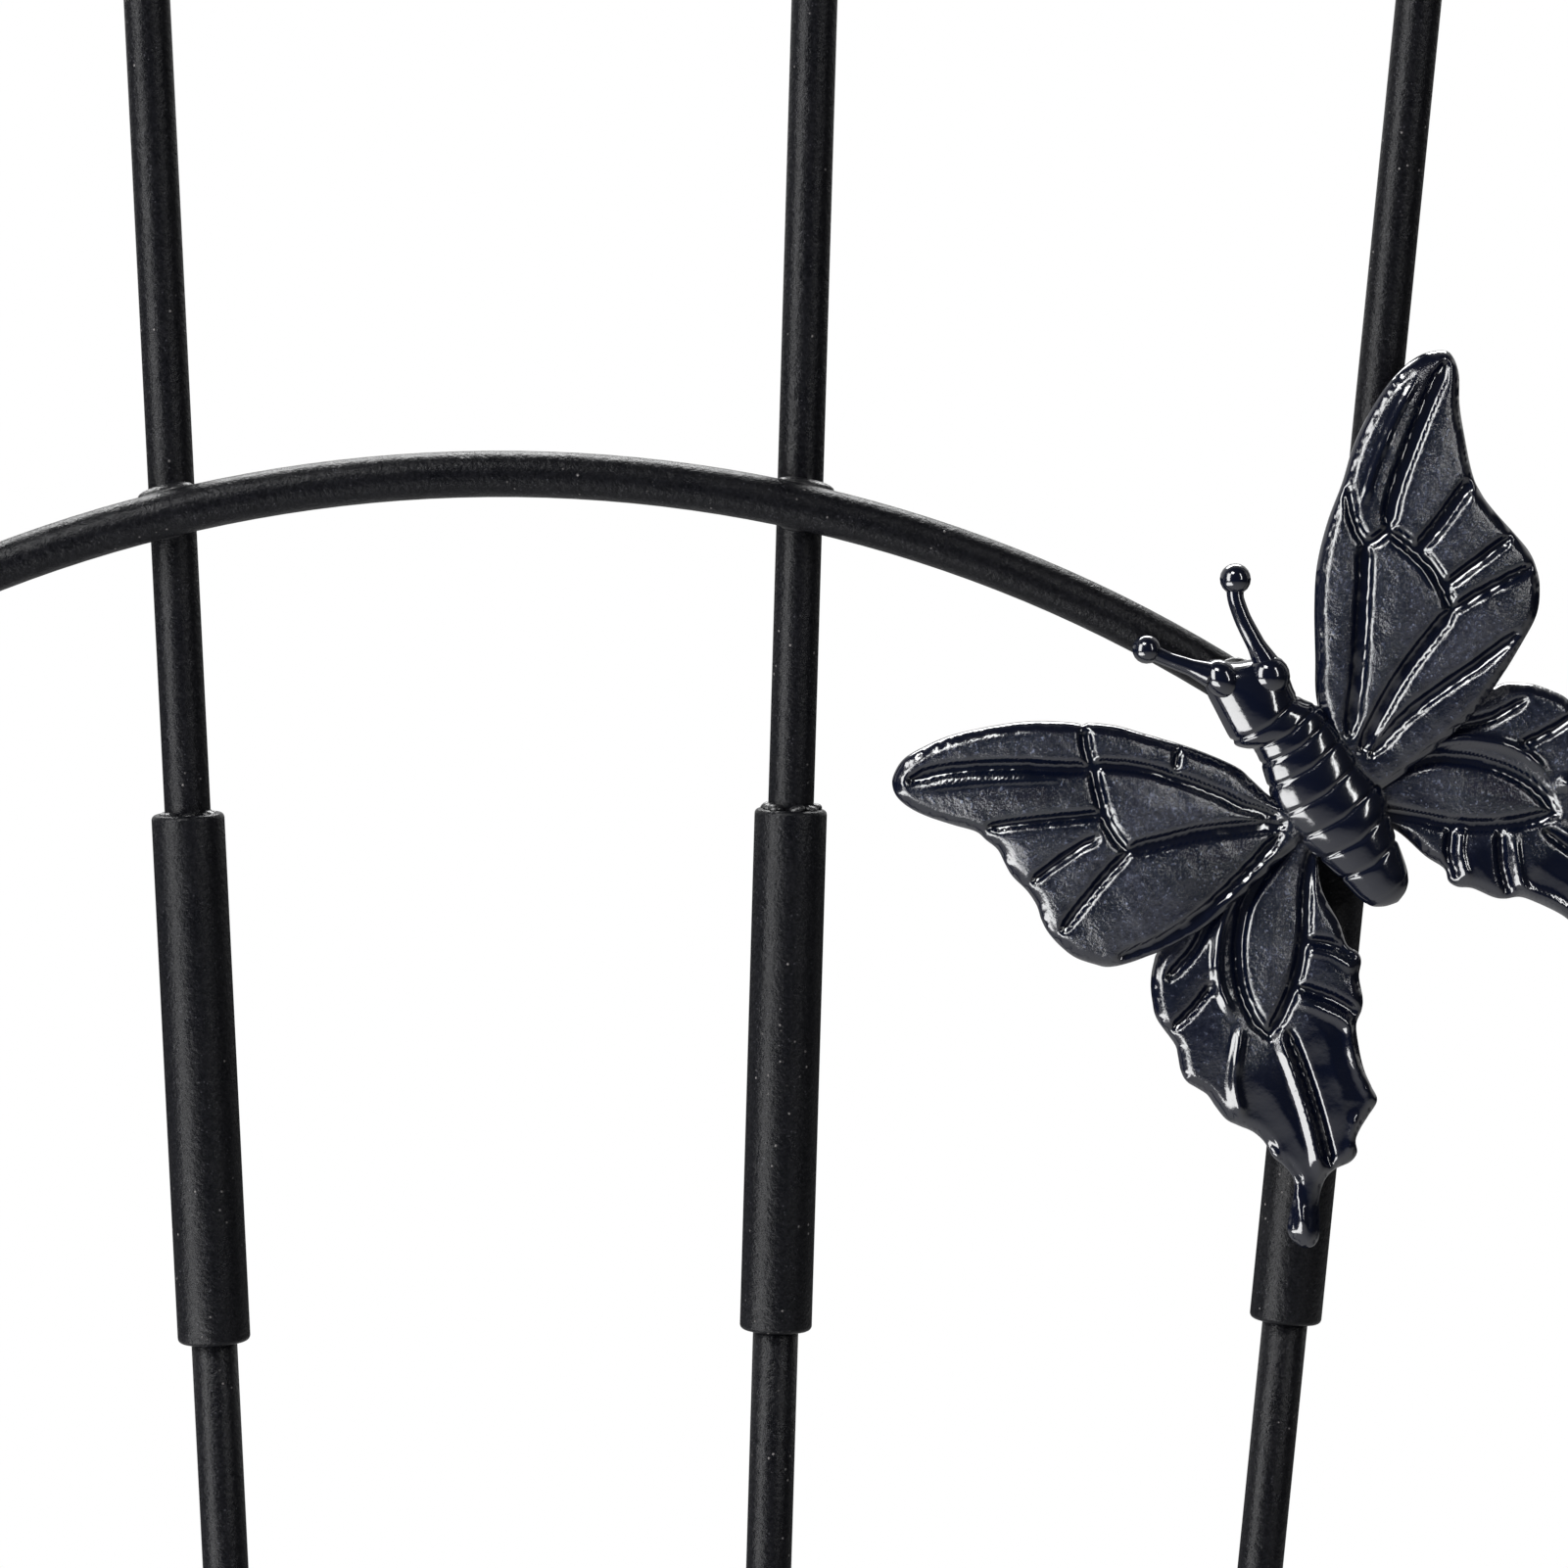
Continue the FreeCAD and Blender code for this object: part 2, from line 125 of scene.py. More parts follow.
def tube(name, stations, material, body, *nodes, open_ends=0.0, wall=1 * MM):
    """Bent tube along (point, direction) stations, its cut ends softly broken."""
    edge = 0.3 * MM
    rings = []
    (start, start_along), (end, end_along) = stations[0], stations[-1]

    def end_rings(point, along):
        rows = [
            ring_about(point, along, TUBE_R - edge),
            ring_about(point + along * edge * 0.3, along, TUBE_R - edge * 0.3),
            ring_about(point + along * edge, along, TUBE_R),
        ]
        if open_ends:
            inner = TUBE_R - wall
            rows = [
                ring_about(point + along * open_ends, along, inner),
                ring_about(point + along * edge, along, inner),
                ring_about(point, along, inner + edge * 0.5),
            ] + rows
        return rows

    rings += end_rings(start, start_along)
    rings += [ring_about(point, along, TUBE_R) for point, along in stations[1:-1]]
    closing = end_rings(end, -end_along)
    flipped = [[ring[-i % len(ring)] for i in range(len(ring))] for ring in closing]
    half = len(closing[0]) // 2
    flipped = [ring[half:] + ring[:half] for ring in flipped]
    rings += list(reversed(flipped))
    verts, faces = loft(rings)
    return new_object(name, verts, faces, material, body, *nodes)


# ---------------------------------------------------------------- materials

class Nodes:
    """Short spelling for building a node tree."""

    def __init__(self, name):
        self.material = bpy.data.materials.new(name)
        self.material.use_nodes = True
        self.tree = self.material.node_tree
        self.shader = self.tree.nodes["Principled BSDF"]
        self.coords = self.add("ShaderNodeTexCoord")

    def add(self, kind, **settings):
        node = self.tree.nodes.new(kind)
        for key, value in settings.items():
            setattr(node, key, value)
        return node

    def link(self, source, target):
        self.tree.links.new(source, target)

    def noise(self, scale, detail=2.0, roughness=0.5):
        node = self.add("ShaderNodeTexNoise")
        node.inputs["Scale"].default_value = scale
        node.inputs["Detail"].default_value = detail
        node.inputs["Roughness"].default_value = roughness
        self.link(self.coords.outputs["Object"], node.inputs["Vector"])
        return node.outputs["Fac"]

    def cells(self, scale):
        node = self.add("ShaderNodeTexVoronoi")
        node.inputs["Scale"].default_value = scale
        self.link(self.coords.outputs["Object"], node.inputs["Vector"])
        return node

    def ramp(self, value, low, high, start=0.0, end=1.0):
        node = self.add("ShaderNodeMapRange")
        node.inputs["From Min"].default_value = low
        node.inputs["From Max"].default_value = high
        node.inputs["To Min"].default_value = start
        node.inputs["To Max"].default_value = end
        self.link(value, node.inputs["Value"])
        return node.outputs["Result"]

    def math(self, operation, first, second):
        node = self.add("ShaderNodeMath", operation=operation)
        for socket, value in zip(node.inputs, (first, second)):
            if isinstance(value, (int, float)):
                socket.default_value = value
            else:
                self.link(value, socket)
        return node.outputs[0]

    def mix(self, factor, first, second):
        node = self.add("ShaderNodeMix", data_type="RGBA")
        self.link(factor, node.inputs["Factor"])
        for socket, value in ((node.inputs[6], first), (node.inputs[7], second)):
            if isinstance(value, tuple):
                socket.default_value = (*value, 1)
            else:
                self.link(value, socket)
        return node.outputs[2]

    def bump(self, height, distance, strength, under=None):
        node = self.add("ShaderNodeBump")
        node.inputs["Distance"].default_value = distance
        node.inputs["Strength"].default_value = strength
        self.link(height, node.inputs["Height"])
        if under is not None:
            self.link(under, node.inputs["Normal"])
        return node.outputs["Normal"]


BLACK = (0.0016, 0.0018, 0.0028)
WORN_BLACK = (0.0075, 0.0076, 0.0098)
DUST = (0.034, 0.034, 0.040)
PALE_SPECK = (0.17, 0.16, 0.16)
ENAMEL_DARK = (0.0018, 0.0032, 0.0105)
ENAMEL_PALE = (0.040, 0.046, 0.072)
ENAMEL_FLECK = (0.14, 0.16, 0.23)


def powder_coat(name, base=BLACK, specular=0.20):
    """Black powder coat: grainy orange peel, faint mottling, dull dust and sparse pale specks."""
    n = Nodes(name)
    mottle = n.noise(160, 4)
    peel = n.noise(700, 2)
    grain = n.noise(1700, 3, 0.7)
    dust = n.ramp(n.cells(1150).outputs["Distance"], 0.22, 0.10)
    dust = n.math("MULTIPLY", dust, n.ramp(n.noise(330, 2), 0.52, 0.58))
    specks = n.ramp(n.cells(470).outputs["Distance"], 0.13, 0.05)
    specks = n.math("MULTIPLY", specks, n.ramp(n.noise(85, 1), 0.56, 0.60))
    colour = n.mix(n.ramp(grain, 0.38, 0.68), base, WORN_BLACK)
    colour = n.mix(dust, colour, DUST)
    n.link(n.mix(specks, colour, PALE_SPECK), n.shader.inputs["Base Color"])
    rough = n.ramp(mottle, 0.3, 0.7, 0.25, 0.36)
    n.link(rough, n.shader.inputs["Roughness"])
    n.shader.inputs["Specular IOR Level"].default_value = specular
    height = n.math("ADD", n.math("MULTIPLY", grain, 0.8), peel)
    height = n.math("ADD", height, n.math("MULTIPLY", specks, 0.8))
    n.link(n.bump(height, 0.20 * MM, 0.8), n.shader.inputs["Normal"])
    return n.material


def cast_enamel(name):
    """Blue-black enamel: glossy and dark where the per-vertex attribute is 1, which paints shade into
    the grooves and at edges; duller, paler and grainy in the panels.
    """
    n = Nodes(name)
    shine_and_shade = n.add("ShaderNodeAttribute", attribute_name="shine_and_shade").outputs["Fac"]
    matt = n.math("SUBTRACT", 1.0, shine_and_shade)
    grain = n.noise(1250, 3, 0.7)
    mottle = n.noise(60, 5, 0.6)
    # Painted shade: the pale panel tone gives way to the dark enamel along the grooves and edges.
    panel = n.ramp(matt, 0.15, 0.95)
    patchy = n.math("MULTIPLY", panel, n.ramp(mottle, 0.38, 0.66, 0.10, 1.0))
    amount = n.math("MULTIPLY", patchy, n.ramp(grain, 0.40, 0.62, 0.04, 1.0))
    colour = n.mix(amount, ENAMEL_DARK, ENAMEL_PALE)
    fleck = n.math("MULTIPLY", n.ramp(grain, 0.62, 0.74), panel)
    n.link(n.mix(fleck, colour, ENAMEL_FLECK), n.shader.inputs["Base Color"])
    rough = n.math("ADD", n.math("MULTIPLY", matt, 0.13), n.ramp(mottle, 0.3, 0.7, 0.09, 0.15))
    n.link(rough, n.shader.inputs["Roughness"])
    n.shader.inputs["IOR"].default_value = 1.9
    n.shader.inputs["Specular IOR Level"].default_value = 0.5
    wavy = n.bump(n.noise(380, 2), 0.12 * MM, 0.5)
    fine = n.math("MULTIPLY", grain, n.math("ADD", n.math("MULTIPLY", matt, 0.95), 0.05))
    n.link(n.bump(fine, 0.30 * MM, 0.8, wavy), n.shader.inputs["Normal"])
    return n.material


FRAME_COAT = powder_coat("frame_coat")
SLEEVE_COAT = powder_coat("sleeve_coat", base=(0.0015, 0.0018, 0.0028))
LEG_COAT = powder_coat("leg_coat")
WELD_COAT = powder_coat("weld_coat", specular=0.8)
ENAMEL = cast_enamel("cast_enamel")


# ---------------------------------------------------------------- fan geometry

def leg_line(leg):
    """(point, upward direction) of the upright that a leg continues."""
    mount = mounts[leg]
    return Vector(mount["pos_m"]), -Vector(mount["axis"]).normalized()


def on_line(leg, height):
    """Point of an upright's centre line at a height."""
    point, up = leg_line(leg)
    return point + up * ((height - point.z) / up.z)


def centred_span(leg, low, high, step=60 * MM):
    """Stations along an upright between two heights."""
    _, up = leg_line(leg)
    count = max(2, int((high - low) / step))
    return [(on_line(leg, low + (high - low) * i / count), up) for i in range(count + 1)]


SIDES = {"left": -1, "right": 1}
_, HOOP_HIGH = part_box("outer_hoop")
HOOP_R = HOOP_HIGH.x - TUBE_R
HOOP_CENTRE = Vector((0, 0, HOOP_HIGH.z - TUBE_R - HOOP_R))
TUBE_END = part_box("inner_rod_left")[0].z


def arc_stations(centre, radius, start, end, step=math.radians(1.2)):
    """Stations round a circle in a plane that faces the front, angles from +X up."""
    count = int(abs(end - start) / step)
    stations = []
    for i in range(count + 1):
        angle = start + (end - start) * i / count
        out = Vector((math.cos(angle), 0, math.sin(angle)))
        stations.append((centre + radius * out, Vector((-out.z, 0, out.x))))
    return stations


def make_hoop():
    """Both outer uprights and the round top, one tube."""
    _, right_up = leg_line("leg_right_outer")
    _, left_up = leg_line("leg_left_outer")
    lean = math.atan2(right_up.x, right_up.z)
    tangent = HOOP_CENTRE.z - HOOP_R * math.sin(lean)
    rising = centred_span("leg_right_outer", TUBE_END, tangent)[:-1]
    falling = centred_span("leg_left_outer", TUBE_END, tangent)[:-1]
    falling = [(point, -left_up) for point, _ in reversed(falling)]
    top = arc_stations(HOOP_CENTRE, HOOP_R, -lean, math.pi + lean)
    tube("hoop_tube", rising + top + falling, FRAME_COAT, PANEL, "outer_hoop")


def make_inner_rods():
    for side in SIDES:
        node = f"inner_rod_{side}"
        low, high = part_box(node)
        stations = centred_span(f"leg_{side}_inner", low.z, high.z)
        tube(f"rod_{side}", stations, FRAME_COAT, PANEL, node)


class Arch:
    """Circle of one brace, worked out from its box."""

    def __init__(self, node):
        low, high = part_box(node)
        rise = high.z - low.z
        # Halves the range of the outer radius until the ends' height fits the box.
        near, far = high.x * 1.0001, high.x * 10
        for _ in range(60):
            outside = (near + far) / 2
            sine = math.sqrt(1 - (high.x / outside) ** 2)
            if outside - (outside - 2 * TUBE_R) * sine > rise:
                near = outside
            else:
                far = outside
        self.radius = outside - TUBE_R
        self.start = math.acos(high.x / outside)
        self.centre = Vector((0, (low.y + high.y) / 2, high.z - outside))

    def crossing(self, leg):
        """Where the brace's centre line passes in front of an upright."""
        height = self.centre.z + self.radius
        for _ in range(30):
            x = on_line(leg, height).x
            height = self.centre.z + math.sqrt(self.radius**2 - x**2)
        return Vector((x, self.centre.y + TUBE_R, height))


ARCH_NODES = sorted(node for node in frame["nodes"] if node.startswith("cross_arch"))
ARCHES = {node: Arch(node) for node in ARCH_NODES}


def make_arches():
    """Braces across the front, with open ends."""
    for node, arch in ARCHES.items():
        stations = arc_stations(arch.centre, arch.radius, arch.start, math.pi - arch.start)
        tube(f"{node}_tube", stations, FRAME_COAT, PANEL, node, open_ends=6 * MM)


# Swaged point: (share of its length from the tip, share of the tube's radius).
POINT_PROFILE = [
    (0.0, 0.02), (0.004, 0.16), (0.02, 0.26), (0.06, 0.34),
    (0.5, 0.70), (0.85, 0.95), (0.95, 0.99), (1.0, 1.0),
]


def make_legs():
    """Leg: slim spigot in the sleeve, full tube, swaged point with a rounded nose."""
    for leg in LEGS:
        node = f"ground_{leg}"
        low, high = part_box(node)
        _, up = leg_line(leg)
        half = mounts[leg]["dims"]["length_mm"] * MM / 2
        middle = Vector(mounts[leg]["pos_m"])
        shank_top, shank_end = middle + up * half, middle - up * half
        tip = on_line(leg, low.z)
        point_length = (shank_end - tip).length
        rings = [ring_about(tip + up * (s * point_length), up, TUBE_R * r) for s, r in POINT_PROFILE]
        steps = 8
        for i in range(1, steps + 1):
            place = shank_end + (shank_top - shank_end) * i / steps
            rings.append(ring_about(place, up, TUBE_R))
        rings.append(ring_about(shank_top + up * 0.2 * MM, up, SPIGOT_R))
        rings.append(ring_about(on_line(leg, high.z - 0.6 * MM), up, SPIGOT_R))
        rings.append(ring_about(on_line(leg, high.z - 0.2 * MM), up, SPIGOT_R - 0.4 * MM))
        verts, faces = loft(rings)
        new_object(f"{leg}_tube", verts, faces, LEG_COAT, leg, node)


def make_sleeves():
    """Thicker tube with rounded edges: a bore for the leg's spigot below, a seat for the tube above."""
    for leg in LEGS:
        node = leg.replace("leg_", "sleeve_")
        low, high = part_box(node)
        _, up = leg_line(leg)
        outer = (high.y - low.y) / 2
        bore = SPIGOT_R + 0.05 * MM
        seat = TUBE_R + 0.03 * MM
        foot = on_line(leg, low.z + outer * up.x)
        head = on_line(leg, high.z - outer * up.x)
        length = (head - foot).length
        edge = 0.9 * MM
        lip = 0.35 * MM
        rows = [(length * 0.5, bore), (lip, bore), (0.0, bore + lip), (0.0, outer - edge)]
        rows += rounded(edge, outer, 0.0, 1)
        rows += [(length * i / 8, outer) for i in range(1, 8)]
        rows += list(reversed(rounded(edge, outer, length, -1)))
        rows += [(length, outer - edge), (length, seat + lip), (length - lip, seat)]
        rows += [(length * 0.5, seat)]
        rings = [ring_about(foot + up * s, up, r) for s, r in rows]
        verts, faces = loft(rings, cap_start=False, cap_end=False)
        new_object(f"{node}_tube", verts, faces, SLEEVE_COAT, PANEL, node)


def rounded(edge, outer, level, direction):
    """Quarter round from an end face to the outer wall."""
    rows = []
    for i in range(1, 6):
        angle = math.pi / 2 * i / 5
        station = level + direction * edge * (1 - math.cos(angle))
        rows.append((station, outer - edge * (1 - math.sin(angle))))
    return rows


# ---------------------------------------------------------------- welds

# Half sizes of the beads.
CROSSING_BEAD = (4.7 * MM, 2.3 * MM, 4.7 * MM)
TOP_RUN = (4.9 * MM, 2.2 * MM, 1.5 * MM)
TOP_RUN_RISE = 3.6 * MM
TOP_RUN_FORWARD = 1.6 * MM
SLEEVE_BEAD = (1.25 * MM, 1.25 * MM, 0.85 * MM)
SLEEVE_BEADS = 9
ROD_BEAD = (5.3 * MM, 4.9 * MM, 3.6 * MM)
CASTING_BEAD = (5.0 * MM, 1.5 * MM, 5.0 * MM)


def lump(centre, radii, wobble, seed, rings=14, count=28):
    """Rounded blob of weld metal with a slow, seeded wobble."""
    rng = np.random.default_rng(seed)
    phases = rng.uniform(0, 2 * math.pi, 4)
    verts, faces = [], []
    for row in range(rings + 1):
        polar = math.pi * row / rings
        for i in range(count):
            turn = 2 * math.pi * i / count
            swell = 1 + wobble * (
                math.sin(2 * turn + phases[0]) * math.sin(polar)
                + 0.6 * math.sin(3 * turn + phases[1]) * math.sin(polar)
                + 0.5 * math.sin(3 * polar + phases[2])
            )
            direction = Vector(
                (math.sin(polar) * math.cos(turn), math.cos(polar), math.sin(polar) * math.sin(turn))
            )
            verts.append(centre + Vector(r * swell * d for r, d in zip(radii, direction)))
    for row in range(rings):
        for i in range(count):
            j = (i + 1) % count
            a, b = row * count, (row + 1) * count
            faces.append((a + i, a + j, b + j, b + i))
    return verts, faces


def join_shells(shells):
    """Vertices and faces of several shells as one mesh."""
    verts, faces = [], []
    for shell_verts, shell_faces in shells:
        offset = len(verts)
        verts += list(shell_verts)
        faces += [tuple(index + offset for index in face) for face in shell_faces]
    return verts, faces


def closed(piece):
    """Merges the pole points of lumps so that every shell is watertight."""
    mesh = bmesh.new()
    mesh.from_mesh(piece.data)
    bmesh.ops.remove_doubles(mesh, verts=mesh.verts, dist=0.001 * MM)
    bmesh.ops.recalc_face_normals(mesh, faces=mesh.faces)
    mesh.to_mesh(piece.data)
    mesh.free()
    piece.data.shade_smooth()
    return piece


def make_arch_welds():
    """A bead between the tubes at each crossing and a run of weld along the brace's top."""
    for number, (node, arch) in enumerate(ARCHES.items(), start=1):
        shells = []
        for place, leg in enumerate(LEGS):
            contact = arch.crossing(leg)
            seed = 10 * number + place
            shells.append(lump(contact, CROSSING_BEAD, 0.05, seed))
            out = Vector((contact.x, 0, contact.z - arch.centre.z)).normalized()
            slope = Matrix.Rotation(math.atan2(out.x, out.z), 3, "Y")
            run_verts, run_faces = lump(Vector(), TOP_RUN, 0.05, seed + 400)
            middle = contact + out * TOP_RUN_RISE - Vector((0, TOP_RUN_FORWARD, 0))
            shells.append(([middle + slope @ v for v in run_verts], run_faces))
        verts, faces = join_shells(shells)
        weld = f"arch_{number}_welds"
        closed(new_object(f"{weld}_beads", verts, faces, WELD_COAT, PANEL, weld))


def make_sleeve_welds():
    """A ring of small beads where each upper tube enters its sleeve."""
    for place, leg in enumerate(LEGS):
        node = leg.replace("leg_", "sleeve_") + "_weld"
        low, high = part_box(node)
        _, up = leg_line(leg)
        middle = on_line(leg, (low.z + high.z) / 2 - 0.5 * MM)
        across = Vector((up.z, 0, -up.x))
        rng = np.random.default_rng(60 + place)
        shells = []
        for i in range(SLEEVE_BEADS):
            turn = 2 * math.pi * (i + rng.uniform(-0.25, 0.25)) / SLEEVE_BEADS
            out = math.cos(turn) * across + math.sin(turn) * Vector((0, -1, 0))
            size = rng.uniform(0.75, 1.15)
            radii = [half * size for half in SLEEVE_BEAD]
            shells.append(lump(middle + out * (TUBE_R + 0.3 * MM), radii, 0.08, 80 + i, 8, 14))
        verts, faces = join_shells(shells)
        closed(new_object(f"{node}_bead", verts, faces, WELD_COAT, PANEL, node))


def make_rod_welds():
    """One bead where each inner rod meets the hoop."""
    for place, side in enumerate(SIDES):
        node = f"inner_rod_{side}_weld"
        low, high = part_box(node)
        middle = (low + high) / 2
        verts, faces = lump(middle, ROD_BEAD, 0.05, 40 + place)
        closed(new_object(f"{node}_bead", verts, faces, WELD_COAT, PANEL, node))


# ---------------------------------------------------------------- castings

# The lists below are in mm, as (outward from the body's axis, towards the head).  Their points
# were picked by eye on the photo, and a scratch script turned them into mm.
LEFT_FOREWING = [
    (6.5, 0), (9.1, 3.6), (10.2, 8.1), (11.2, 11.8), (15.4, 18.6), (20.9, 25.7), (24.3, 29.9),
    (27.8, 33.0), (29.0, 33.3), (29.9, 34.5), (34.3, 38.0), (38.7, 40.7), (44.2, 43.3), (49.2, 45.2),
    (53.7, 46.1), (57.7, 46.4), (60.6, 45.3), (62.1, 43.9), (62.7, 41.7), (62.0, 38.9), (60.2, 35.7),
    (57.5, 32.1), (55.0, 29.0), (54.4, 26.8), (53.7, 24.2), (54.1, 21.4), (54.3, 18.9), (53.7, 15.4),
    (53.8, 12.3), (54.6, 9.7), (54.9, 7.1), (54.5, 3.9), (53.5, 0.9), (51.4, -2.0), (49.9, -3.6),
    (47.1, -4.9), (43.6, -5.9), (38.5, -7.0), (30, -7.6), (18, -6.5), (6.5, -5),
]
RIGHT_FOREWING = [
    (4, 2), (5.6, 9), (7.5, 13.9), (10.9, 19.1), (15.6, 26.3), (20.1, 32.1), (25.7, 37.2), (31.6, 41.3),
    (36.7, 45.3), (42.4, 48.5), (49.1, 51.0), (54.9, 51.4), (58.8, 49.8), (59.7, 48.0), (58.8, 44.8),
    (56.0, 40.7), (53.2, 35.1), (50.7, 29.3), (50.1, 26.2), (50.1, 22.7), (50.9, 16.0), (51.1, 12.7),
    (50.6, 10.0), (49.2, 6.8), (45.8, 3.0), (40.0, 0.1), (35.7, -1.8), (28, -4.5), (18, -6), (4, -6),
]
LEFT_HINDWING = [
    (6, -2), (20, -3.5), (32, -4.5), (40.4, -6.7), (42.9, -8.2), (45.3, -10.7), (47.0, -13.6),
    (48.1, -16.5), (48.1, -21.8), (48.8, -23.8), (49.9, -26.2), (50.2, -28.3), (49.4, -30.3),
    (48.6, -32.4), (48.6, -35.1), (48.4, -37.8), (47.3, -39.9), (45.8, -42.4), (45.2, -45.2),
    (45.5, -47.9), (44.8, -50.5), (44.8, -53.2), (46.1, -55.4), (49.5, -58.7), (50.9, -60.3),
    (51.2, -62.2), (50.4, -64.4), (48.9, -65.2), (47.2, -64.6), (45.5, -62.7), (43.9, -60.2),
    (42.3, -58.2), (40.1, -56.7), (37.7, -56.3), (34.9, -56.8), (32.9, -56.1), (31.9, -54.2),
    (30.0, -53.0), (27.7, -52.0), (24.7, -50.6), (24.1, -47.8), (23.4, -44.6), (21.7, -40.6),
    (20.0, -37.6), (17.8, -36.1), (16.4, -34.5), (14.7, -31.0), (12.9, -29.1), (12.4, -27.4),
    (13.2, -25.2), (12.1, -21.3), (11.1, -14.7), (8, -9), (6, -6),
]
# The right hindwing is the left one mirrored, swung up and moved in by this much.
HINDWING_SWING = math.radians(5)
HINDWING_SHIFT = (-7.0, -0.4)
# Grooves: (half width, points).
LEFT_FOREWING_GROOVES = [
    (0.77, [
        (28.6, 34.0), (30.8, 30.0), (32.0, 26.2), (33.4, 23.0), (35.1, 18.5), (35.7, 14.3), (35.2, 11.0),
    ]),
    (0.83, [(59.0, 42.8), (54.9, 41.6), (49.5, 38.8), (42.3, 34.2), (36.9, 30.0), (32.2, 26.6)]),
    (0.77, [(32.0, 27.4), (25.6, 22.1), (21.2, 16.5), (17.0, 10.4), (14.2, 5.4), (10.5, 0.8)]),
    (0.58, [(34.4, 18.6), (39.0, 21.1), (44.3, 24.1), (49.6, 27.0), (52.6, 28.4)]),
    (0.48, [(38.6, 16.2), (44.2, 16.8), (51.6, 16.5)]),
    (0.64, [(35.6, 11.0), (40.7, 10.0), (45.9, 8.6), (52.4, 6.6)]),
    (1.02, [(35.2, 11.3), (30.5, 9.4), (23.9, 6.7), (17.9, 3.4), (10.5, -1.0)]),
    (0.83, [(12.1, -2.2), (20.6, -4.0), (32.6, -5.4), (40.0, -5.0), (47.0, -3.4)]),
    (0.30, [(17.3, 21.2), (20.0, 18.1)]),
]
RIGHT_FOREWING_GROOVES = [
    (1.14, [(57.6, 47.6), (52.3, 44.6), (46.2, 40.7), (41.1, 37.3), (36.9, 34.1), (33.7, 30.8)]),
    (0.70, [(32.0, 41.0), (29.4, 34.9), (29.1, 31.3), (30.7, 30.2), (33.7, 30.4)]),
    (1.08, [(28.8, 30.9), (25.1, 25.8), (20.3, 19.5), (14.7, 12.3), (8.4, 5.0)]),
    (0.77, [(33.7, 30.0), (34.9, 26.0), (35.7, 22.1), (35.6, 17.2), (34.4, 12.7)]),
    (1.08, [(34.2, 12.5), (27.3, 10.4), (22.0, 8.6), (17.1, 6.4), (8.6, 1.6)]),
    (1.02, [(35.4, 24.6), (40.7, 25.9), (46.0, 27.7), (49.8, 28.8)]),
    (0.64, [(35.1, 16.7), (39.9, 16.8), (45.5, 17.0), (49.4, 16.9)]),
    (0.64, [(34.4, 12.7), (39.5, 12.2), (44.5, 11.5), (49.4, 10.6)]),
    (0.83, [(9.4, 0.0), (17.8, 1.9), (25.6, 2.4), (32.9, 2.2), (41.0, 2.6)]),
]
HINDWING_GROOVES = [
    (0.89, [
        (11.0, -4.6), (18.3, -6.6), (23.8, -9.0), (28.0, -12.8),
        (31.0, -16.9), (33.1, -21.4), (34.0, -26.2), (33.8, -30.0),
    ]),
    (0.89, [(9.0, -8.0), (14.2, -13.8), (18.8, -19.6), (23.8, -24.3), (29.1, -27.8), (33.8, -30.0)]),
    (0.64, [(24.0, -4.6), (30.0, -7.0), (35.6, -10.0), (42.0, -11.4)]),
    (0.52, [(37.0, -17.0), (41.9, -18.4), (46.6, -19.1)]),
    (0.58, [(18.6, -20.2), (15.4, -23.4), (13.2, -27.6)]),
    (0.64, [(24.4, -26.2), (21.0, -30.9), (18.6, -36.0)]),
    (0.64, [(30.6, -31.4), (32.2, -38.2), (34.8, -46.5), (38.0, -55.0)]),
]
# Raised ribs: (height, half width, points).
LEFT_FOREWING_RIBS = [
    (0.60, 0.85, [(58.0, 40.4), (53.5, 37.9), (48.0, 34.8), (41.8, 30.9), (37.2, 27.9)]),
]
RIGHT_FOREWING_RIBS = [
    (0.70, 1.20, [(52.7, 49.0), (45.6, 45.7), (37.3, 40.5), (31.4, 35.8)]),
    (0.45, 0.70, [(31.8, 29.4), (33.0, 26.0), (33.8, 22.0), (33.8, 17.2)]),
]
HINDWING_RIBS = [
    (1.50, 1.55, [(20.0, -4.2), (28.5, -8.6), (33.4, -13.4), (36.2, -18.4), (36.9, -23.6)]),
    (1.60, 1.65, [(37.0, -25.8), (41.2, -30.0), (44.0, -33.6), (46.0, -38.6)]),
    (1.60, 1.65, [(32.6, -31.4), (34.4, -38.3), (36.8, -46.0), (40.4, -55.0)]),
    (1.10, 1.45, [(26.0, -28.0), (23.6, -31.6), (21.4, -36.4), (23.8, -41.9), (25.2, -50.0)]),
    (0.90, 1.30, [(29.8, -50.2), (33.8, -55.0)]),
    (0.90, 1.30, [(45.2, -46.0), (44.8, -52.8), (46.6, -57.0), (48.6, -61.6)]),
    (0.70, 1.10, [(20.0, -21.5), (17.0, -24.6), (15.0, -28.8)]),
]
# Body: (towards the head, middle, half width, depth).
TRUNK = [
    (-24.2, -1.6, 0.2, 0.1), (-23.7, -1.6, 2.1, 1.5), (-22.3, -1.8, 3.9, 2.8), (-20, -1.75, 5.0, 3.6),
    (-15, -1.4, 6.0, 4.3), (-11, -1.2, 7.0, 4.8), (-7.3, -0.7, 8.4, 5.3), (-0.4, -1.4, 8.6, 5.5),
    (2.8, -0.9, 8.6, 5.5), (7.4, -0.2, 7.7, 5.4), (9.7, 0.1, 7.3, 5.3), (12, 0.2, 6.8, 5.2),
    (14.6, -2.1, 7.1, 5.4), (16.7, -2.1, 6.9, 5.5), (18.9, -1.6, 7.1, 5.6), (22.4, -1.2, 7.0, 5.4),
    (24.8, -2.4, 5.5, 4.9), (26.9, -4.5, 2.8, 3.6), (28.5, -4.6, 2.4, 2.6), (29.4, -4.8, 0.8, 1.0),
]
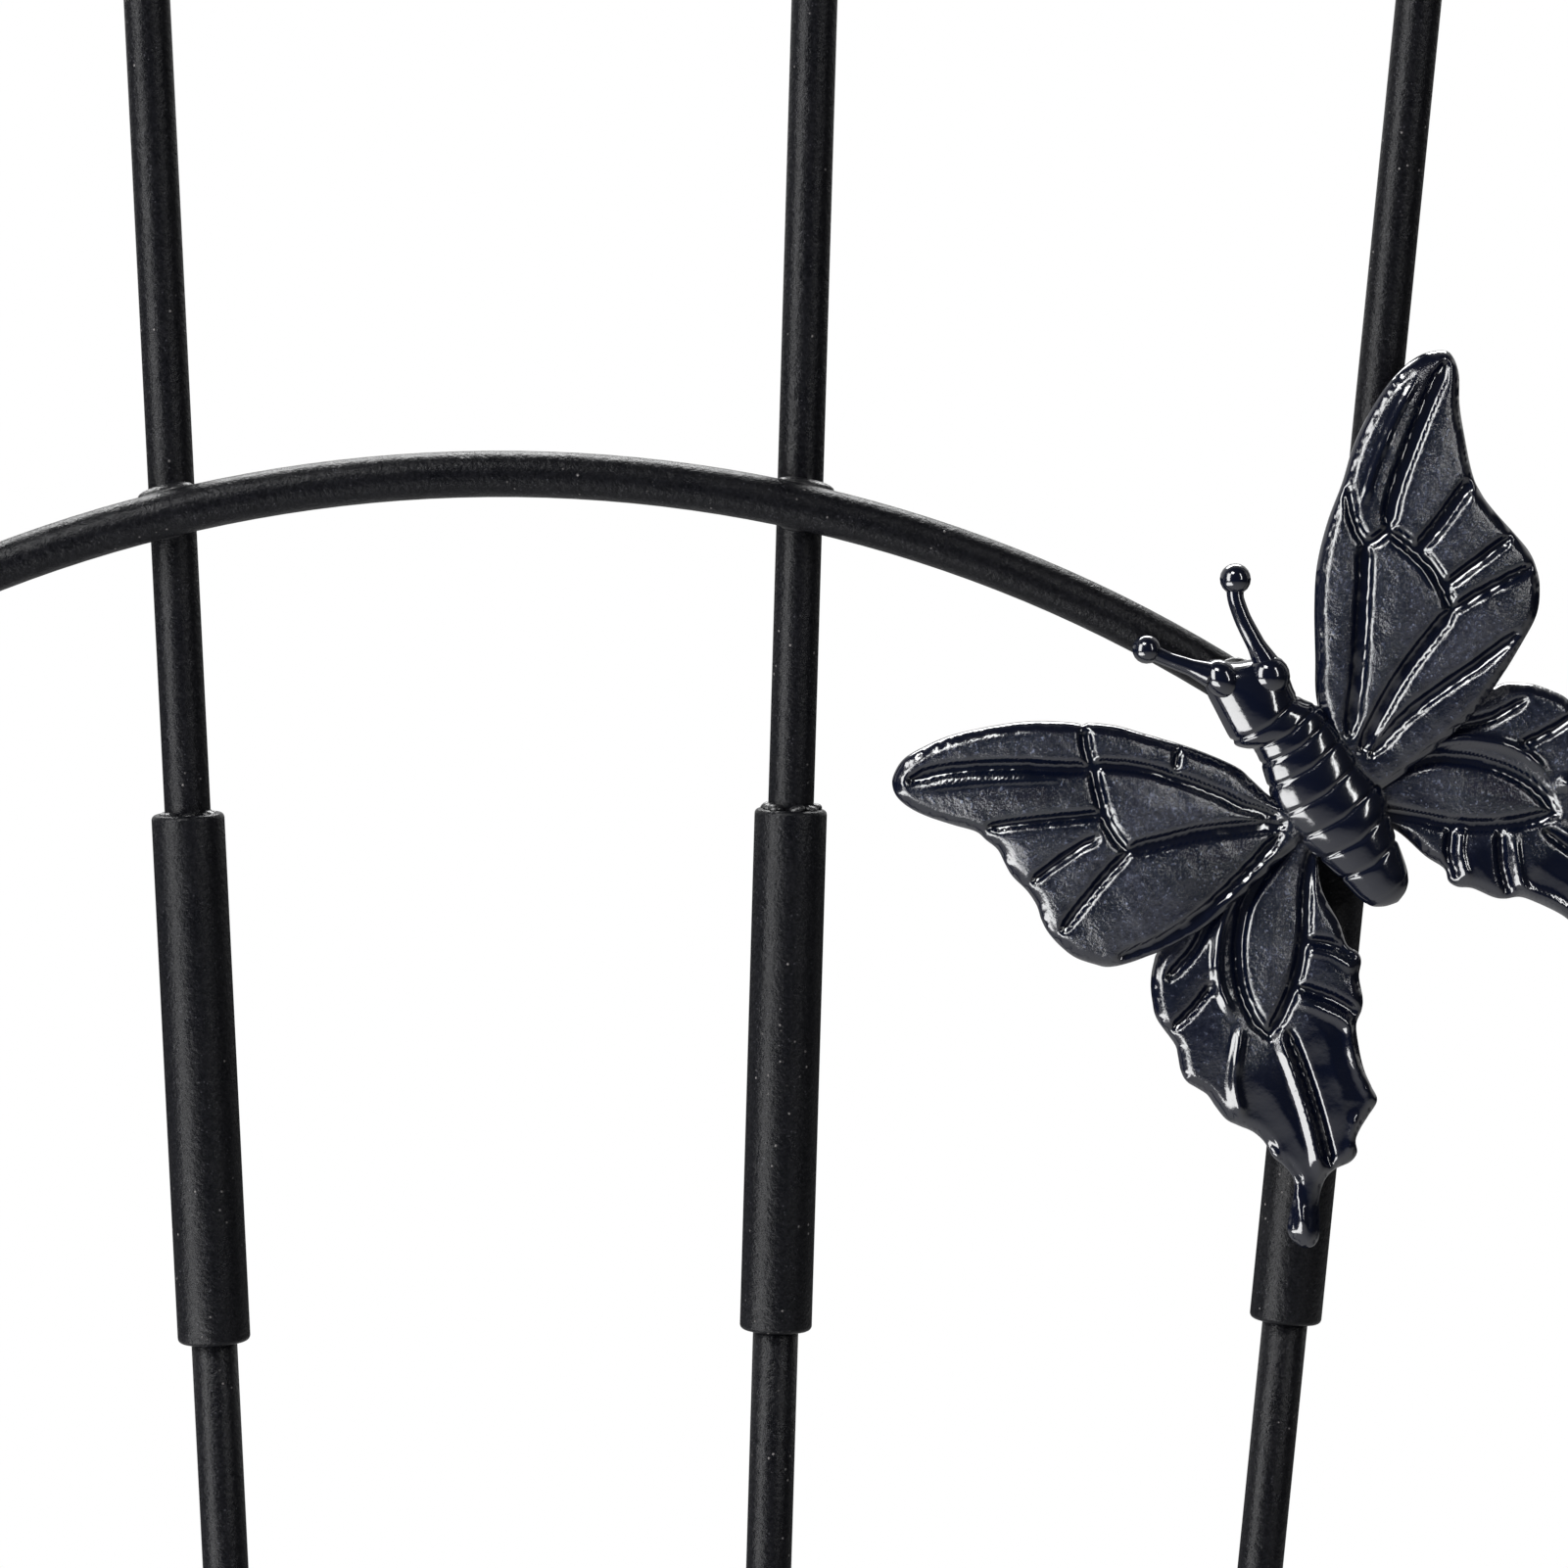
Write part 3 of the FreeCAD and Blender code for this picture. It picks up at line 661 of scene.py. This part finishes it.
TRUNK_GROOVES = [-15.0, -10.0, -5.0, 0.2, 5.4, 9.4, 12.4, 15.6]
WING_LIFT = math.radians(1)
WING_THICKNESS = 3.0
# The wing outlines were measured for wings tipped 6 degrees forward: this fits them to the flatter ones.
LEFT_WING_STRETCH = 0.987
RIGHT_WING_STRETCH = 1.012
SHEET_STEP = 0.5
# A wing's front, from the outline inwards: a rim, a step up to puffed panels, grooves between them.
RIM_WIDTH = 0.9
RIM_HEIGHT = 0.5
RIM_CREST = 0.55
RIM_HALF = 0.6
EDGE_ROUND = 0.8
EDGE_DROP = 0.9
PANEL_STEP = 1.2
PANEL_SHOULDER = 1.1
PANEL_PUFF = 0.8
PUFF_REACH = 5.0
# Reach of the glossy strip along grooves and the rim, whose dark colour is painted shade.
SHINE_AND_SHADE_REACH = 1.2
# The ringed body: its rings' grooves are sharp with a soft shoulder, and its back is flatter.
GROOVE_DEPTH = 0.32
GROOVE_WIDTH = 0.36
SHOULDER_DEPTH = 0.07
SHOULDER_WIDTH = 1.1
BACK_DEPTH = 1.9
TRUNK_LEVEL = 2.0


def catmull_rom(before, here, after, later, per_side=8):
    """Points of the curve from each point to the one after it."""
    t = np.linspace(0, 1, per_side, endpoint=False)[None, :, None]
    a, b, c, d = (q[:, None, :] for q in (before, here, after, later))
    curve = 0.5 * (
        2 * b + (c - a) * t + (2 * a - 5 * b + 4 * c - d) * t**2 + (3 * b - a - 3 * c + d) * t**3
    )
    return curve.reshape(-1, 2)


def smooth_closed(points):
    """Closed curve through flat points."""
    p = np.array(points, float)
    return catmull_rom(np.roll(p, 1, 0), p, np.roll(p, -1, 0), np.roll(p, -2, 0))


def smooth_open(points):
    """Open curve through flat points."""
    p = np.array(points, float)
    p = np.vstack([2 * p[0] - p[1], p, 2 * p[-1] - p[-2]])
    return np.vstack([catmull_rom(p[:-3], p[1:-2], p[2:-1], p[3:]), p[-2]])


def nearest_on(points, line):
    """Distance from each point to a polyline, the nearest place and how far along it is."""
    start, step = line[:-1], np.diff(line, axis=0)
    length2 = np.maximum((step**2).sum(1), 1e-12)
    best = np.full(len(points), np.inf)
    place = np.zeros_like(points)
    along = np.zeros(len(points))
    run = np.concatenate([[0], np.cumsum(np.sqrt(length2))])
    for i in range(len(start)):
        t = np.clip(((points - start[i]) @ step[i]) / length2[i], 0, 1)
        spot = start[i] + t[:, None] * step[i]
        gap = np.hypot(*(points - spot).T)
        closer = gap < best
        best[closer] = gap[closer]
        place[closer] = spot[closer]
        along[closer] = run[i] + t[closer] * np.sqrt(length2[i])
    return best, place, along / run[-1]


def inside(points, outline):
    """Even-odd test against a closed outline."""
    x, y = points.T
    result = np.zeros(len(points), bool)
    for (x0, y0), (x1, y1) in zip(outline, np.roll(outline, -1, 0)):
        crosses = (y0 > y) != (y1 > y)
        edge_x = x0 + (y - y0) * (x1 - x0) / (y1 - y0 if y1 != y0 else 1e-12)
        result ^= crosses & (x < edge_x)
    return result


def quarter_round(share):
    """Height share of a rounded edge: 0 at its foot and 1 from its full width on."""
    return np.sqrt(np.clip(1 - (1 - np.clip(share, 0, 1)) ** 2, 0, 1))


def relief(points, outline, grooves, ribs, seed, gloss_and_shade):
    """Height of a wing's front and its glossy, dark strips, the dark being painted shade in grooves and
    at edges: puffed panels between grooves, raised ribs, a rim.
    """
    ring = np.vstack([outline, outline[:1]])
    to_edge, _, _ = nearest_on(points, ring)
    to_groove = np.full(len(points), np.inf)
    for half, line in grooves:
        gap, _, along = nearest_on(points, smooth_open(line))
        pinch = half * np.clip(np.minimum(along, 1 - along) * 8 + 0.45, 0, 1)
        to_groove = np.minimum(to_groove, np.maximum(gap - pinch, 0))
    to_side = np.minimum(to_groove, np.maximum(to_edge - RIM_WIDTH, 0))
    shoulder = quarter_round(to_side / PANEL_SHOULDER)
    height = PANEL_STEP * shoulder + PANEL_PUFF * (1 - np.exp(-((to_side / PUFF_REACH) ** 2)))
    rim = np.clip(1 - np.abs(to_edge - RIM_CREST) / RIM_HALF, 0, 1)
    height = np.maximum(height, RIM_HEIGHT * np.sqrt(rim))
    # Glossy, dark strip along the grooves and the rim: the dark is painted shade in the recesses.
    shine_and_shade = np.exp(-((to_side / SHINE_AND_SHADE_REACH) ** 2))
    for crest, half, line in ribs:
        gap, _, along = nearest_on(points, smooth_open(line))
        taper = np.clip(np.minimum(along, 1 - along) * 7 + 0.3, 0, 1)
        height += crest * taper * (np.hypot(1 - np.clip(gap / half, 0, 1), 0.12) - 0.12)
        shine_and_shade = np.maximum(shine_and_shade, taper * np.exp(-((gap / (1.2 * half)) ** 6)))
    height -= EDGE_DROP * (1 - quarter_round(to_edge / EDGE_ROUND))
    # Slow random waves over the whole front.
    rng = np.random.default_rng(seed)
    for _ in range(8):
        wave = rng.normal(0, 0.5, 2)
        height += 0.035 * np.sin(points @ wave + rng.uniform(0, 6.28))
    return height, np.clip(np.maximum(shine_and_shade, gloss_and_shade(points)), 0, 1)


def wing_sheet(outline_points, grooves, ribs, sign, level, camber, seed, gloss_and_shade):
    """Closed shell of one wing in casting coordinates, with each vertex's gloss and painted shade.

    A square grid is cut to the outline, its border is moved onto the outline, and its front
    and back are joined by a strip along the border.
    """
    outline = smooth_closed(outline_points)
    low, high = outline.min(0) - SHEET_STEP, outline.max(0) + SHEET_STEP
    xs = np.arange(low[0], high[0] + SHEET_STEP, SHEET_STEP)
    ys = np.arange(low[1], high[1] + SHEET_STEP, SHEET_STEP)
    grid = np.stack(np.meshgrid(xs, ys, indexing="ij"), -1)
    rows, cols = len(xs), len(ys)
    middles = (grid[:-1, :-1] + grid[1:, 1:]).reshape(-1, 2) / 2
    keep = inside(middles, outline).reshape(rows - 1, cols - 1)
    used = np.zeros((rows, cols), bool)
    for di in (0, 1):
        for dj in (0, 1):
            used[di : rows - 1 + di, dj : cols - 1 + dj] |= keep
    touching = np.zeros((rows + 1, cols + 1), int)
    touching[1:-1, 1:-1] = keep
    around = touching[:-1, :-1] + touching[1:, :-1] + touching[:-1, 1:] + touching[1:, 1:]
    border = used & (around < 4)
    flat = grid.reshape(-1, 2).copy()
    edge_index = np.flatnonzero(border.ravel())
    _, snapped, _ = nearest_on(flat[edge_index], np.vstack([outline, outline[:1]]))
    flat[edge_index] = snapped
    index = -np.ones(rows * cols, int)
    chosen = np.flatnonzero(used.ravel())
    index[chosen] = np.arange(len(chosen))
    points = flat[chosen]
    height, shine_and_shade = relief(points, outline, grooves, ribs, seed, gloss_and_shade)
    bend = camber(points)
    front = level + bend + height
    back = np.maximum(level + bend - WING_THICKNESS * 0.5, 0.05)
    out, up = points.T
    lifted = math.sin(WING_LIFT) * out
    stretch = LEFT_WING_STRETCH if sign < 0 else RIGHT_WING_STRETCH
    flatwise = math.cos(WING_LIFT) * out * stretch
    front_verts = np.stack([sign * flatwise, up, front + lifted], -1)
    back_verts = np.stack([sign * flatwise, up, back + lifted], -1)
    count = len(points)
    faces = []
    numbers = index.reshape(rows, cols)
    for i, j in zip(*np.nonzero(keep)):
        quad = (numbers[i, j], numbers[i + 1, j], numbers[i + 1, j + 1], numbers[i, j + 1])
        quad = quad if sign > 0 else quad[::-1]
        faces.append(quad)
        faces.append(tuple(v + count for v in reversed(quad)))
    # A dictionary, because it keeps the edges in a fixed order.
    directed = {}
    for face in faces[::2]:
        for a, b in zip(face, face[1:] + face[:1]):
            directed[(a, b)] = True
    for a, b in directed:
        if (b, a) not in directed:
            faces.append((b, a, a + count, b + count))
    verts = np.vstack([front_verts, back_verts])
    return verts, faces, np.concatenate([shine_and_shade, shine_and_shade])


def trunk_shell():
    """Ringed body: rounded in front, shallower behind, in casting coordinates."""
    stations = np.array(TRUNK)
    tail, head = TRUNK[0][0], TRUNK[-1][0]
    rows = np.concatenate([np.linspace(tail, -21, 24), np.linspace(-20.8, head, 180)])
    table = [np.interp(rows, stations[:, 0], stations[:, k]) for k in (1, 2, 3)]
    for column in table:
        for _ in range(12):
            column[1:-1] = (column[:-2] + 2 * column[1:-1] + column[2:]) / 4
    count = 56
    rings = []
    for up, middle, width, depth in zip(rows, *table):
        near = min(abs(up - groove) for groove in TRUNK_GROOVES)
        sharp = GROOVE_DEPTH * math.exp(-((near / GROOVE_WIDTH) ** 2))
        inset = sharp + SHOULDER_DEPTH * math.exp(-((near / SHOULDER_WIDTH) ** 2))
        ring = []
        for i in range(count):
            turn = 2 * math.pi * i / count
            across, out = math.cos(turn), math.sin(turn)
            slide = 0.9 * (1 - abs(across)) * min(1, (up - tail) / 8, (head - up) / 12)
            slide = slide if out > 0 else 0
            reach = max(width - inset, 0.1)
            rise = max(depth - inset, 0.1) if out > 0 else BACK_DEPTH * min(1, width / 4)
            ring.append((middle + reach * across, up - slide, TRUNK_LEVEL + rise * out))
        rings.append(ring)
    verts, faces = loft(rings)
    return np.array(verts), [face[::-1] for face in faces], np.full(len(verts), 1.0)


def bead_shell(centre, radius, stretch=(1, 1, 1), count=20):
    """Ball or egg in casting coordinates."""
    verts, faces = lump(Vector((0, 0, 0)), (1, 1, 1), 0.0, 1, count // 2, count)
    verts = np.array(centre) + radius * np.array(verts) * np.array(stretch)
    return verts, faces, np.full(len(verts), 1.0)


def stem_shell(points, radii):
    """Curved antenna stem through points with a radius at each."""
    p = np.array(points, float)
    fine = np.linspace(0, len(p) - 1, 24)
    line = np.stack([np.interp(fine, range(len(p)), p[:, k]) for k in range(3)], -1)
    for _ in range(3):
        line[1:-1] = (line[:-2] + 2 * line[1:-1] + line[2:]) / 4
    size = np.interp(fine, range(len(p)), radii)
    rings = []
    for k in range(len(line)):
        along = line[min(k + 1, len(line) - 1)] - line[max(k - 1, 0)]
        along /= np.linalg.norm(along)
        side = np.cross(along, (0, 0, 1))
        side /= np.linalg.norm(side)
        lift = np.cross(side, along)
        turns = np.linspace(0, 2 * math.pi, 14, endpoint=False)
        rings.append([line[k] + size[k] * (math.cos(t) * side + math.sin(t) * lift) for t in turns])
    verts, faces = loft(rings)
    return np.array(verts), faces, np.full(len(verts), 1.0)


def forewing_gloss_and_shade(points):
    """Painted shade: the wing's colour darkens towards its root by the body and its lower edge under the
    hindwing, where it also shines a little more.
    """
    out, up = points.T
    root = np.clip((20 - out) / 12, 0, 1) * 0.5
    lower = np.clip((3 - up) / 8, 0, 1) * 0.5
    return np.maximum(root, lower)


def hindwing_gloss(points):
    """Glossier towards the tail and the inner edge; the almond cell stays matt."""
    out, up = points.T
    lower = np.clip((-up - 27) / 7, 0, 1)
    inner = np.clip((26 - out + 0.5 * (up + 20)) / 8, 0, 1) * np.clip((-up - 20) / 6, 0, 1)
    upper = 0.45 * np.clip((-up + 4) / 10, 0, 1)
    cell = np.exp(-(((out - 26 + 0.65 * (up + 18)) / 8) ** 2 + ((up + 18) / 14) ** 2))
    return np.clip(np.maximum(np.maximum(lower, inner), upper) - 1.2 * cell, 0.0, 1)


def forewing_camber(points):
    """Slow bulge of a forewing, highest half way out."""
    out, up = points.T
    return 2.6 * np.sin(np.clip((out - 6) / 54, 0, 1) * math.pi) + 0.6 * np.cos((up - 15) / 12)


def hindwing_camber(points):
    """Slow bulge of a hindwing, highest half way down."""
    out, up = points.T
    return 0.8 * np.sin(np.clip((-up) / 60, 0, 1) * math.pi) - 0.02 * np.abs(out - 28)


def swung(line):
    """Right hindwing points from the left wing's."""
    turn, (aside, lift) = HINDWING_SWING, HINDWING_SHIFT
    return [
        (
            max(x * math.cos(turn) - y * math.sin(turn) + aside, 1.0),
            x * math.sin(turn) + y * math.cos(turn) + lift,
        )
        for x, y in line
    ]


def casting_shells():
    """Body, wings and antennae of one casting, each (vertices, faces, per-vertex gloss and painted
    shade).
    """
    right_hindwing = swung(LEFT_HINDWING)
    right_grooves = [(half, swung(line)) for half, line in HINDWING_GROOVES]
    right_ribs = [(crest, half, swung(line)) for crest, half, line in HINDWING_RIBS]
    fore = (2.6, forewing_camber, 3, forewing_gloss_and_shade)
    hind = (1.7, hindwing_camber, 5, hindwing_gloss)
    return [
        trunk_shell(),
        wing_sheet(LEFT_FOREWING, LEFT_FOREWING_GROOVES, LEFT_FOREWING_RIBS, -1, *fore),
        wing_sheet(RIGHT_FOREWING, RIGHT_FOREWING_GROOVES, RIGHT_FOREWING_RIBS, 1, *fore),
        wing_sheet(LEFT_HINDWING, HINDWING_GROOVES, HINDWING_RIBS, -1, *hind),
        wing_sheet(right_hindwing, right_grooves, right_ribs, 1, *hind),
        bead_shell((-4.4, 25.8, 4.6), 3.1, (0.95, 1.2, 1.0)),
        bead_shell((2.7, 21.5, 4.6), 3.5, (1.0, 1.05, 1.0)),
        stem_shell(
            [(-5.6, 27.6, 4.6), (-7.6, 30.6, 4.4), (-9.9, 33.8, 4.1), (-12.0, 37.4, 3.6)],
            [2.3, 1.5, 1.3, 1.5],
        ),
        stem_shell(
            [(3.3, 22.6, 4.6), (3.8, 27.0, 4.6), (4.5, 32.2, 4.2), (5.6, 36.0, 3.8), (7.5, 38.4, 3.6)],
            [2.5, 1.65, 1.5, 1.45, 1.6],
        ),
        bead_shell((-12.0, 37.5, 3.6), 2.5),
        bead_shell((7.5, 38.5, 3.6), 2.7),
    ]


CASTING = casting_shells()

# Where the castings stand: two over the ends of braces and one on the hoop's shoulder.
CASTING_LEAN = 35
FROM_ARCH_END = 8.0 * MM
BELOW_ARCH_END = 6.5 * MM
HOOP_STATION = 40
WELDS_FROM_ARCH_END = (10 * MM, 26 * MM)
HOOP_WELD_STATIONS = (37, 43)
# (casting, brace, side of the panel)
CASTINGS_ON_ARCHES = [
    ("butterfly_low_right", "cross_arch_1", 1),
    ("butterfly_middle_left", "cross_arch_3", -1),
]


def casting_places():
    """Node to (centre on the flat back, lean in degrees)."""
    places = {}
    for node, arch_node, side in CASTINGS_ON_ARCHES:
        arch = ARCHES[arch_node]
        angle = arch.start + FROM_ARCH_END / arch.radius
        centre = arch.centre + arch.radius * Vector((math.cos(angle), 0, math.sin(angle)))
        middle = Vector((side * centre.x, arch.centre.y - TUBE_R, centre.z - BELOW_ARCH_END))
        places[node] = (middle, side * CASTING_LEAN)
    angle = math.radians(HOOP_STATION)
    middle = HOOP_CENTRE + HOOP_R * Vector((math.cos(angle), 0, math.sin(angle)))
    places["butterfly_top_right"] = (Vector((middle.x, -TUBE_R, middle.z)), CASTING_LEAN)
    return places


def make_castings():
    """One piece for each casting, stood upright and leaned over."""
    verts = np.vstack([shell[0] for shell in CASTING]) * MM
    shine_and_shade = np.concatenate([shell[2] for shell in CASTING])
    faces = []
    offset = 0
    for shell_verts, shell_faces, _ in CASTING:
        faces += [tuple(int(i) + offset for i in face) for face in shell_faces]
        offset += len(shell_verts)
    for node, (centre, lean) in casting_places().items():
        upright = Matrix.Rotation(math.radians(90), 3, "X")
        turn = upright @ Matrix.Rotation(math.radians(lean), 3, "Z")
        placed = verts @ np.array(turn).T + np.array(centre)
        piece = new_object(f"{node}_casting", placed, faces, ENAMEL, PANEL, node)
        # The attribute gives the enamel its gloss and its painted shade in the grooves.
        attribute = piece.data.attributes.new("shine_and_shade", "FLOAT", "POINT")
        attribute.data.foreach_set("value", shine_and_shade.astype(np.float32))
        closed(piece)


def casting_weld_places():
    """Node to the two contacts between the tube underneath and the casting's back."""
    places = {}
    for node, arch_node, side in CASTINGS_ON_ARCHES:
        arch = ARCHES[arch_node]
        contacts = []
        for distance in WELDS_FROM_ARCH_END:
            angle = arch.start + distance / arch.radius
            out = arch.radius * Vector((side * math.cos(angle), 0, math.sin(angle)))
            contacts.append(arch.centre + out - Vector((0, TUBE_R, 0)))
        places[f"{node}_welds"] = contacts
    contacts = []
    for degrees in HOOP_WELD_STATIONS:
        angle = math.radians(degrees)
        out = HOOP_R * Vector((math.cos(angle), 0, math.sin(angle)))
        contacts.append(HOOP_CENTRE + out - Vector((0, TUBE_R, 0)))
    places["butterfly_top_right_welds"] = contacts
    return places


def make_casting_welds():
    """Flat beads between each casting's back and the tube behind it."""
    inwards = Vector((0, 0.9 * MM, 0))
    for number, (node, contacts) in enumerate(casting_weld_places().items()):
        first_seed = 120 + 3 * number
        shells = [
            lump(contact + inwards, CASTING_BEAD, 0.05, first_seed + i)
            for i, contact in enumerate(contacts)
        ]
        verts, faces = join_shells(shells)
        closed(new_object(f"{node}_beads", verts, faces, WELD_COAT, PANEL, node))


# ---------------------------------------------------------------- stage, light and camera

# The floor's brightness as the object sees it, at two distances from the object.
FLOOR_GLOW_NEAR, FLOOR_NEAR = 0.55, 0.3
FLOOR_GLOW_FAR, FLOOR_FAR = 0.02, 2.2


def make_stage():
    """Wide floor just below the leg points: white to the camera, dim and fading to the object."""
    size = 60
    level = cad_box[0].z - 0.5 * MM
    corners = [(-size, -size, level), (size, -size, level), (size, size, level), (-size, size, level)]
    mesh = bpy.data.meshes.new("floor")
    mesh.from_pydata(corners, [], [(0, 1, 2, 3)])
    floor = bpy.data.objects.new("floor", mesh)
    bpy.context.scene.collection.objects.link(floor)
    material = bpy.data.materials.new("pale_floor")
    material.use_nodes = True
    tree = material.node_tree
    dim = tree.nodes.new("ShaderNodeEmission")
    spread = tree.nodes.new("ShaderNodeTexCoord")
    distance = tree.nodes.new("ShaderNodeVectorMath")
    distance.operation = "LENGTH"
    tree.links.new(spread.outputs["Object"], distance.inputs[0])
    glow = tree.nodes.new("ShaderNodeMapRange")
    glow.inputs["From Min"].default_value = FLOOR_NEAR
    glow.inputs["From Max"].default_value = FLOOR_FAR
    glow.inputs["To Min"].default_value = FLOOR_GLOW_NEAR
    glow.inputs["To Max"].default_value = FLOOR_GLOW_FAR
    tree.links.new(distance.outputs["Value"], glow.inputs["Value"])
    tree.links.new(glow.outputs["Result"], dim.inputs["Strength"])
    white = tree.nodes.new("ShaderNodeEmission")
    white.inputs["Strength"].default_value = 1.0
    rays = tree.nodes.new("ShaderNodeLightPath")
    mix = tree.nodes.new("ShaderNodeMixShader")
    tree.links.new(rays.outputs["Is Camera Ray"], mix.inputs[0])
    tree.links.new(dim.outputs[0], mix.inputs[1])
    tree.links.new(white.outputs[0], mix.inputs[2])
    tree.links.new(mix.outputs[0], tree.nodes["Material Output"].inputs["Surface"])
    floor.data.materials.append(material)


def softbox(name, place, target, width, height, power):
    """Rectangular lamp that faces a target and that the camera doesn't see."""
    light = bpy.data.lights.new(name, "AREA")
    light.shape = "RECTANGLE"
    light.size, light.size_y = width, height
    light.energy = power
    lamp = bpy.data.objects.new(name, light)
    lamp.location = place
    lamp.rotation_euler = (Vector(target) - Vector(place)).to_track_quat("-Z", "Y").to_euler()
    lamp.visible_camera = False
    bpy.context.scene.collection.objects.link(lamp)


def make_lights():
    """Five softboxes, one of them low at the left and facing up, in white surroundings.

    The camera sees the surroundings white all round.  The object sees them dim in front and
    brighter behind.
    """
    aim = (0.1, 0, 0.35)
    softbox("left_box", (-2.05, -1.22, 0.95), aim, 1.05, 2.3, 62)
    softbox("low_box", (-0.70, -0.50, -0.19), (-0.69, -0.49, 2.0), 0.80, 0.80, 15)
    softbox("right_box", (1.55, -1.75, 1.15), aim, 0.20, 1.8, 14)
    softbox("high_box", (-0.9, -1.5, 2.3), aim, 0.9, 0.6, 30)
    softbox("top_box", (0.0, 1.7, 2.2), aim, 2.4, 0.80, 85)
    world = bpy.data.worlds.new("studio")
    bpy.context.scene.world = world
    world.use_nodes = True
    tree = world.node_tree
    background = tree.nodes["Background"]
    coords = tree.nodes.new("ShaderNodeTexCoord")
    split = tree.nodes.new("ShaderNodeSeparateXYZ")
    tree.links.new(coords.outputs["Generated"], split.inputs[0])
    behind = tree.nodes.new("ShaderNodeMapRange")
    behind.interpolation_type = "SMOOTHSTEP"
    behind.inputs["From Min"].default_value = -0.1
    behind.inputs["From Max"].default_value = 0.6
    behind.inputs["To Min"].default_value = 0.035
    behind.inputs["To Max"].default_value = 0.60
    tree.links.new(split.outputs["Y"], behind.inputs["Value"])
    rays = tree.nodes.new("ShaderNodeLightPath")
    seen = tree.nodes.new("ShaderNodeMath")
    seen.operation = "MAXIMUM"
    tree.links.new(rays.outputs["Is Camera Ray"], seen.inputs[0])
    tree.links.new(behind.outputs["Result"], seen.inputs[1])
    tree.links.new(seen.outputs[0], background.inputs["Strength"])
    background.inputs["Color"].default_value = (1, 1, 1, 1)


CAMERA_PLACE = (-0.0217, -1.1904, 0.3841)
CAMERA_PITCH, CAMERA_YAW, CAMERA_ROLL = (math.radians(a) for a in (5.0, 3.51, -0.38))


def make_camera():
    """Long lens, looking slightly down and to the right at the panel's lower part."""
    camera = bpy.data.cameras.new("camera")
    camera.lens = 157.4
    camera.sensor_width = 36
    camera.clip_start, camera.clip_end = 0.05, 200
    eye = bpy.data.objects.new("camera", camera)
    bpy.context.scene.collection.objects.link(eye)
    level = math.cos(CAMERA_PITCH)
    ahead = Vector((math.sin(CAMERA_YAW) * level, math.cos(CAMERA_YAW) * level, -math.sin(CAMERA_PITCH)))
    right = ahead.cross(Vector((0, 0, 1))).normalized()
    up = right.cross(ahead)
    across = right * math.cos(CAMERA_ROLL) + up * math.sin(CAMERA_ROLL)
    above = up * math.cos(CAMERA_ROLL) - right * math.sin(CAMERA_ROLL)
    turn = Matrix((across, above, -ahead)).transposed().to_4x4()
    eye.matrix_world = Matrix.Translation(CAMERA_PLACE) @ turn
    bpy.context.scene.camera = eye


make_hoop()
make_inner_rods()
make_arches()
make_legs()
make_sleeves()
make_arch_welds()
make_sleeve_welds()
make_rod_welds()
make_castings()
make_casting_welds()
make_stage()
make_lights()
make_camera()
bpy.context.scene.view_settings.view_transform = "Standard"
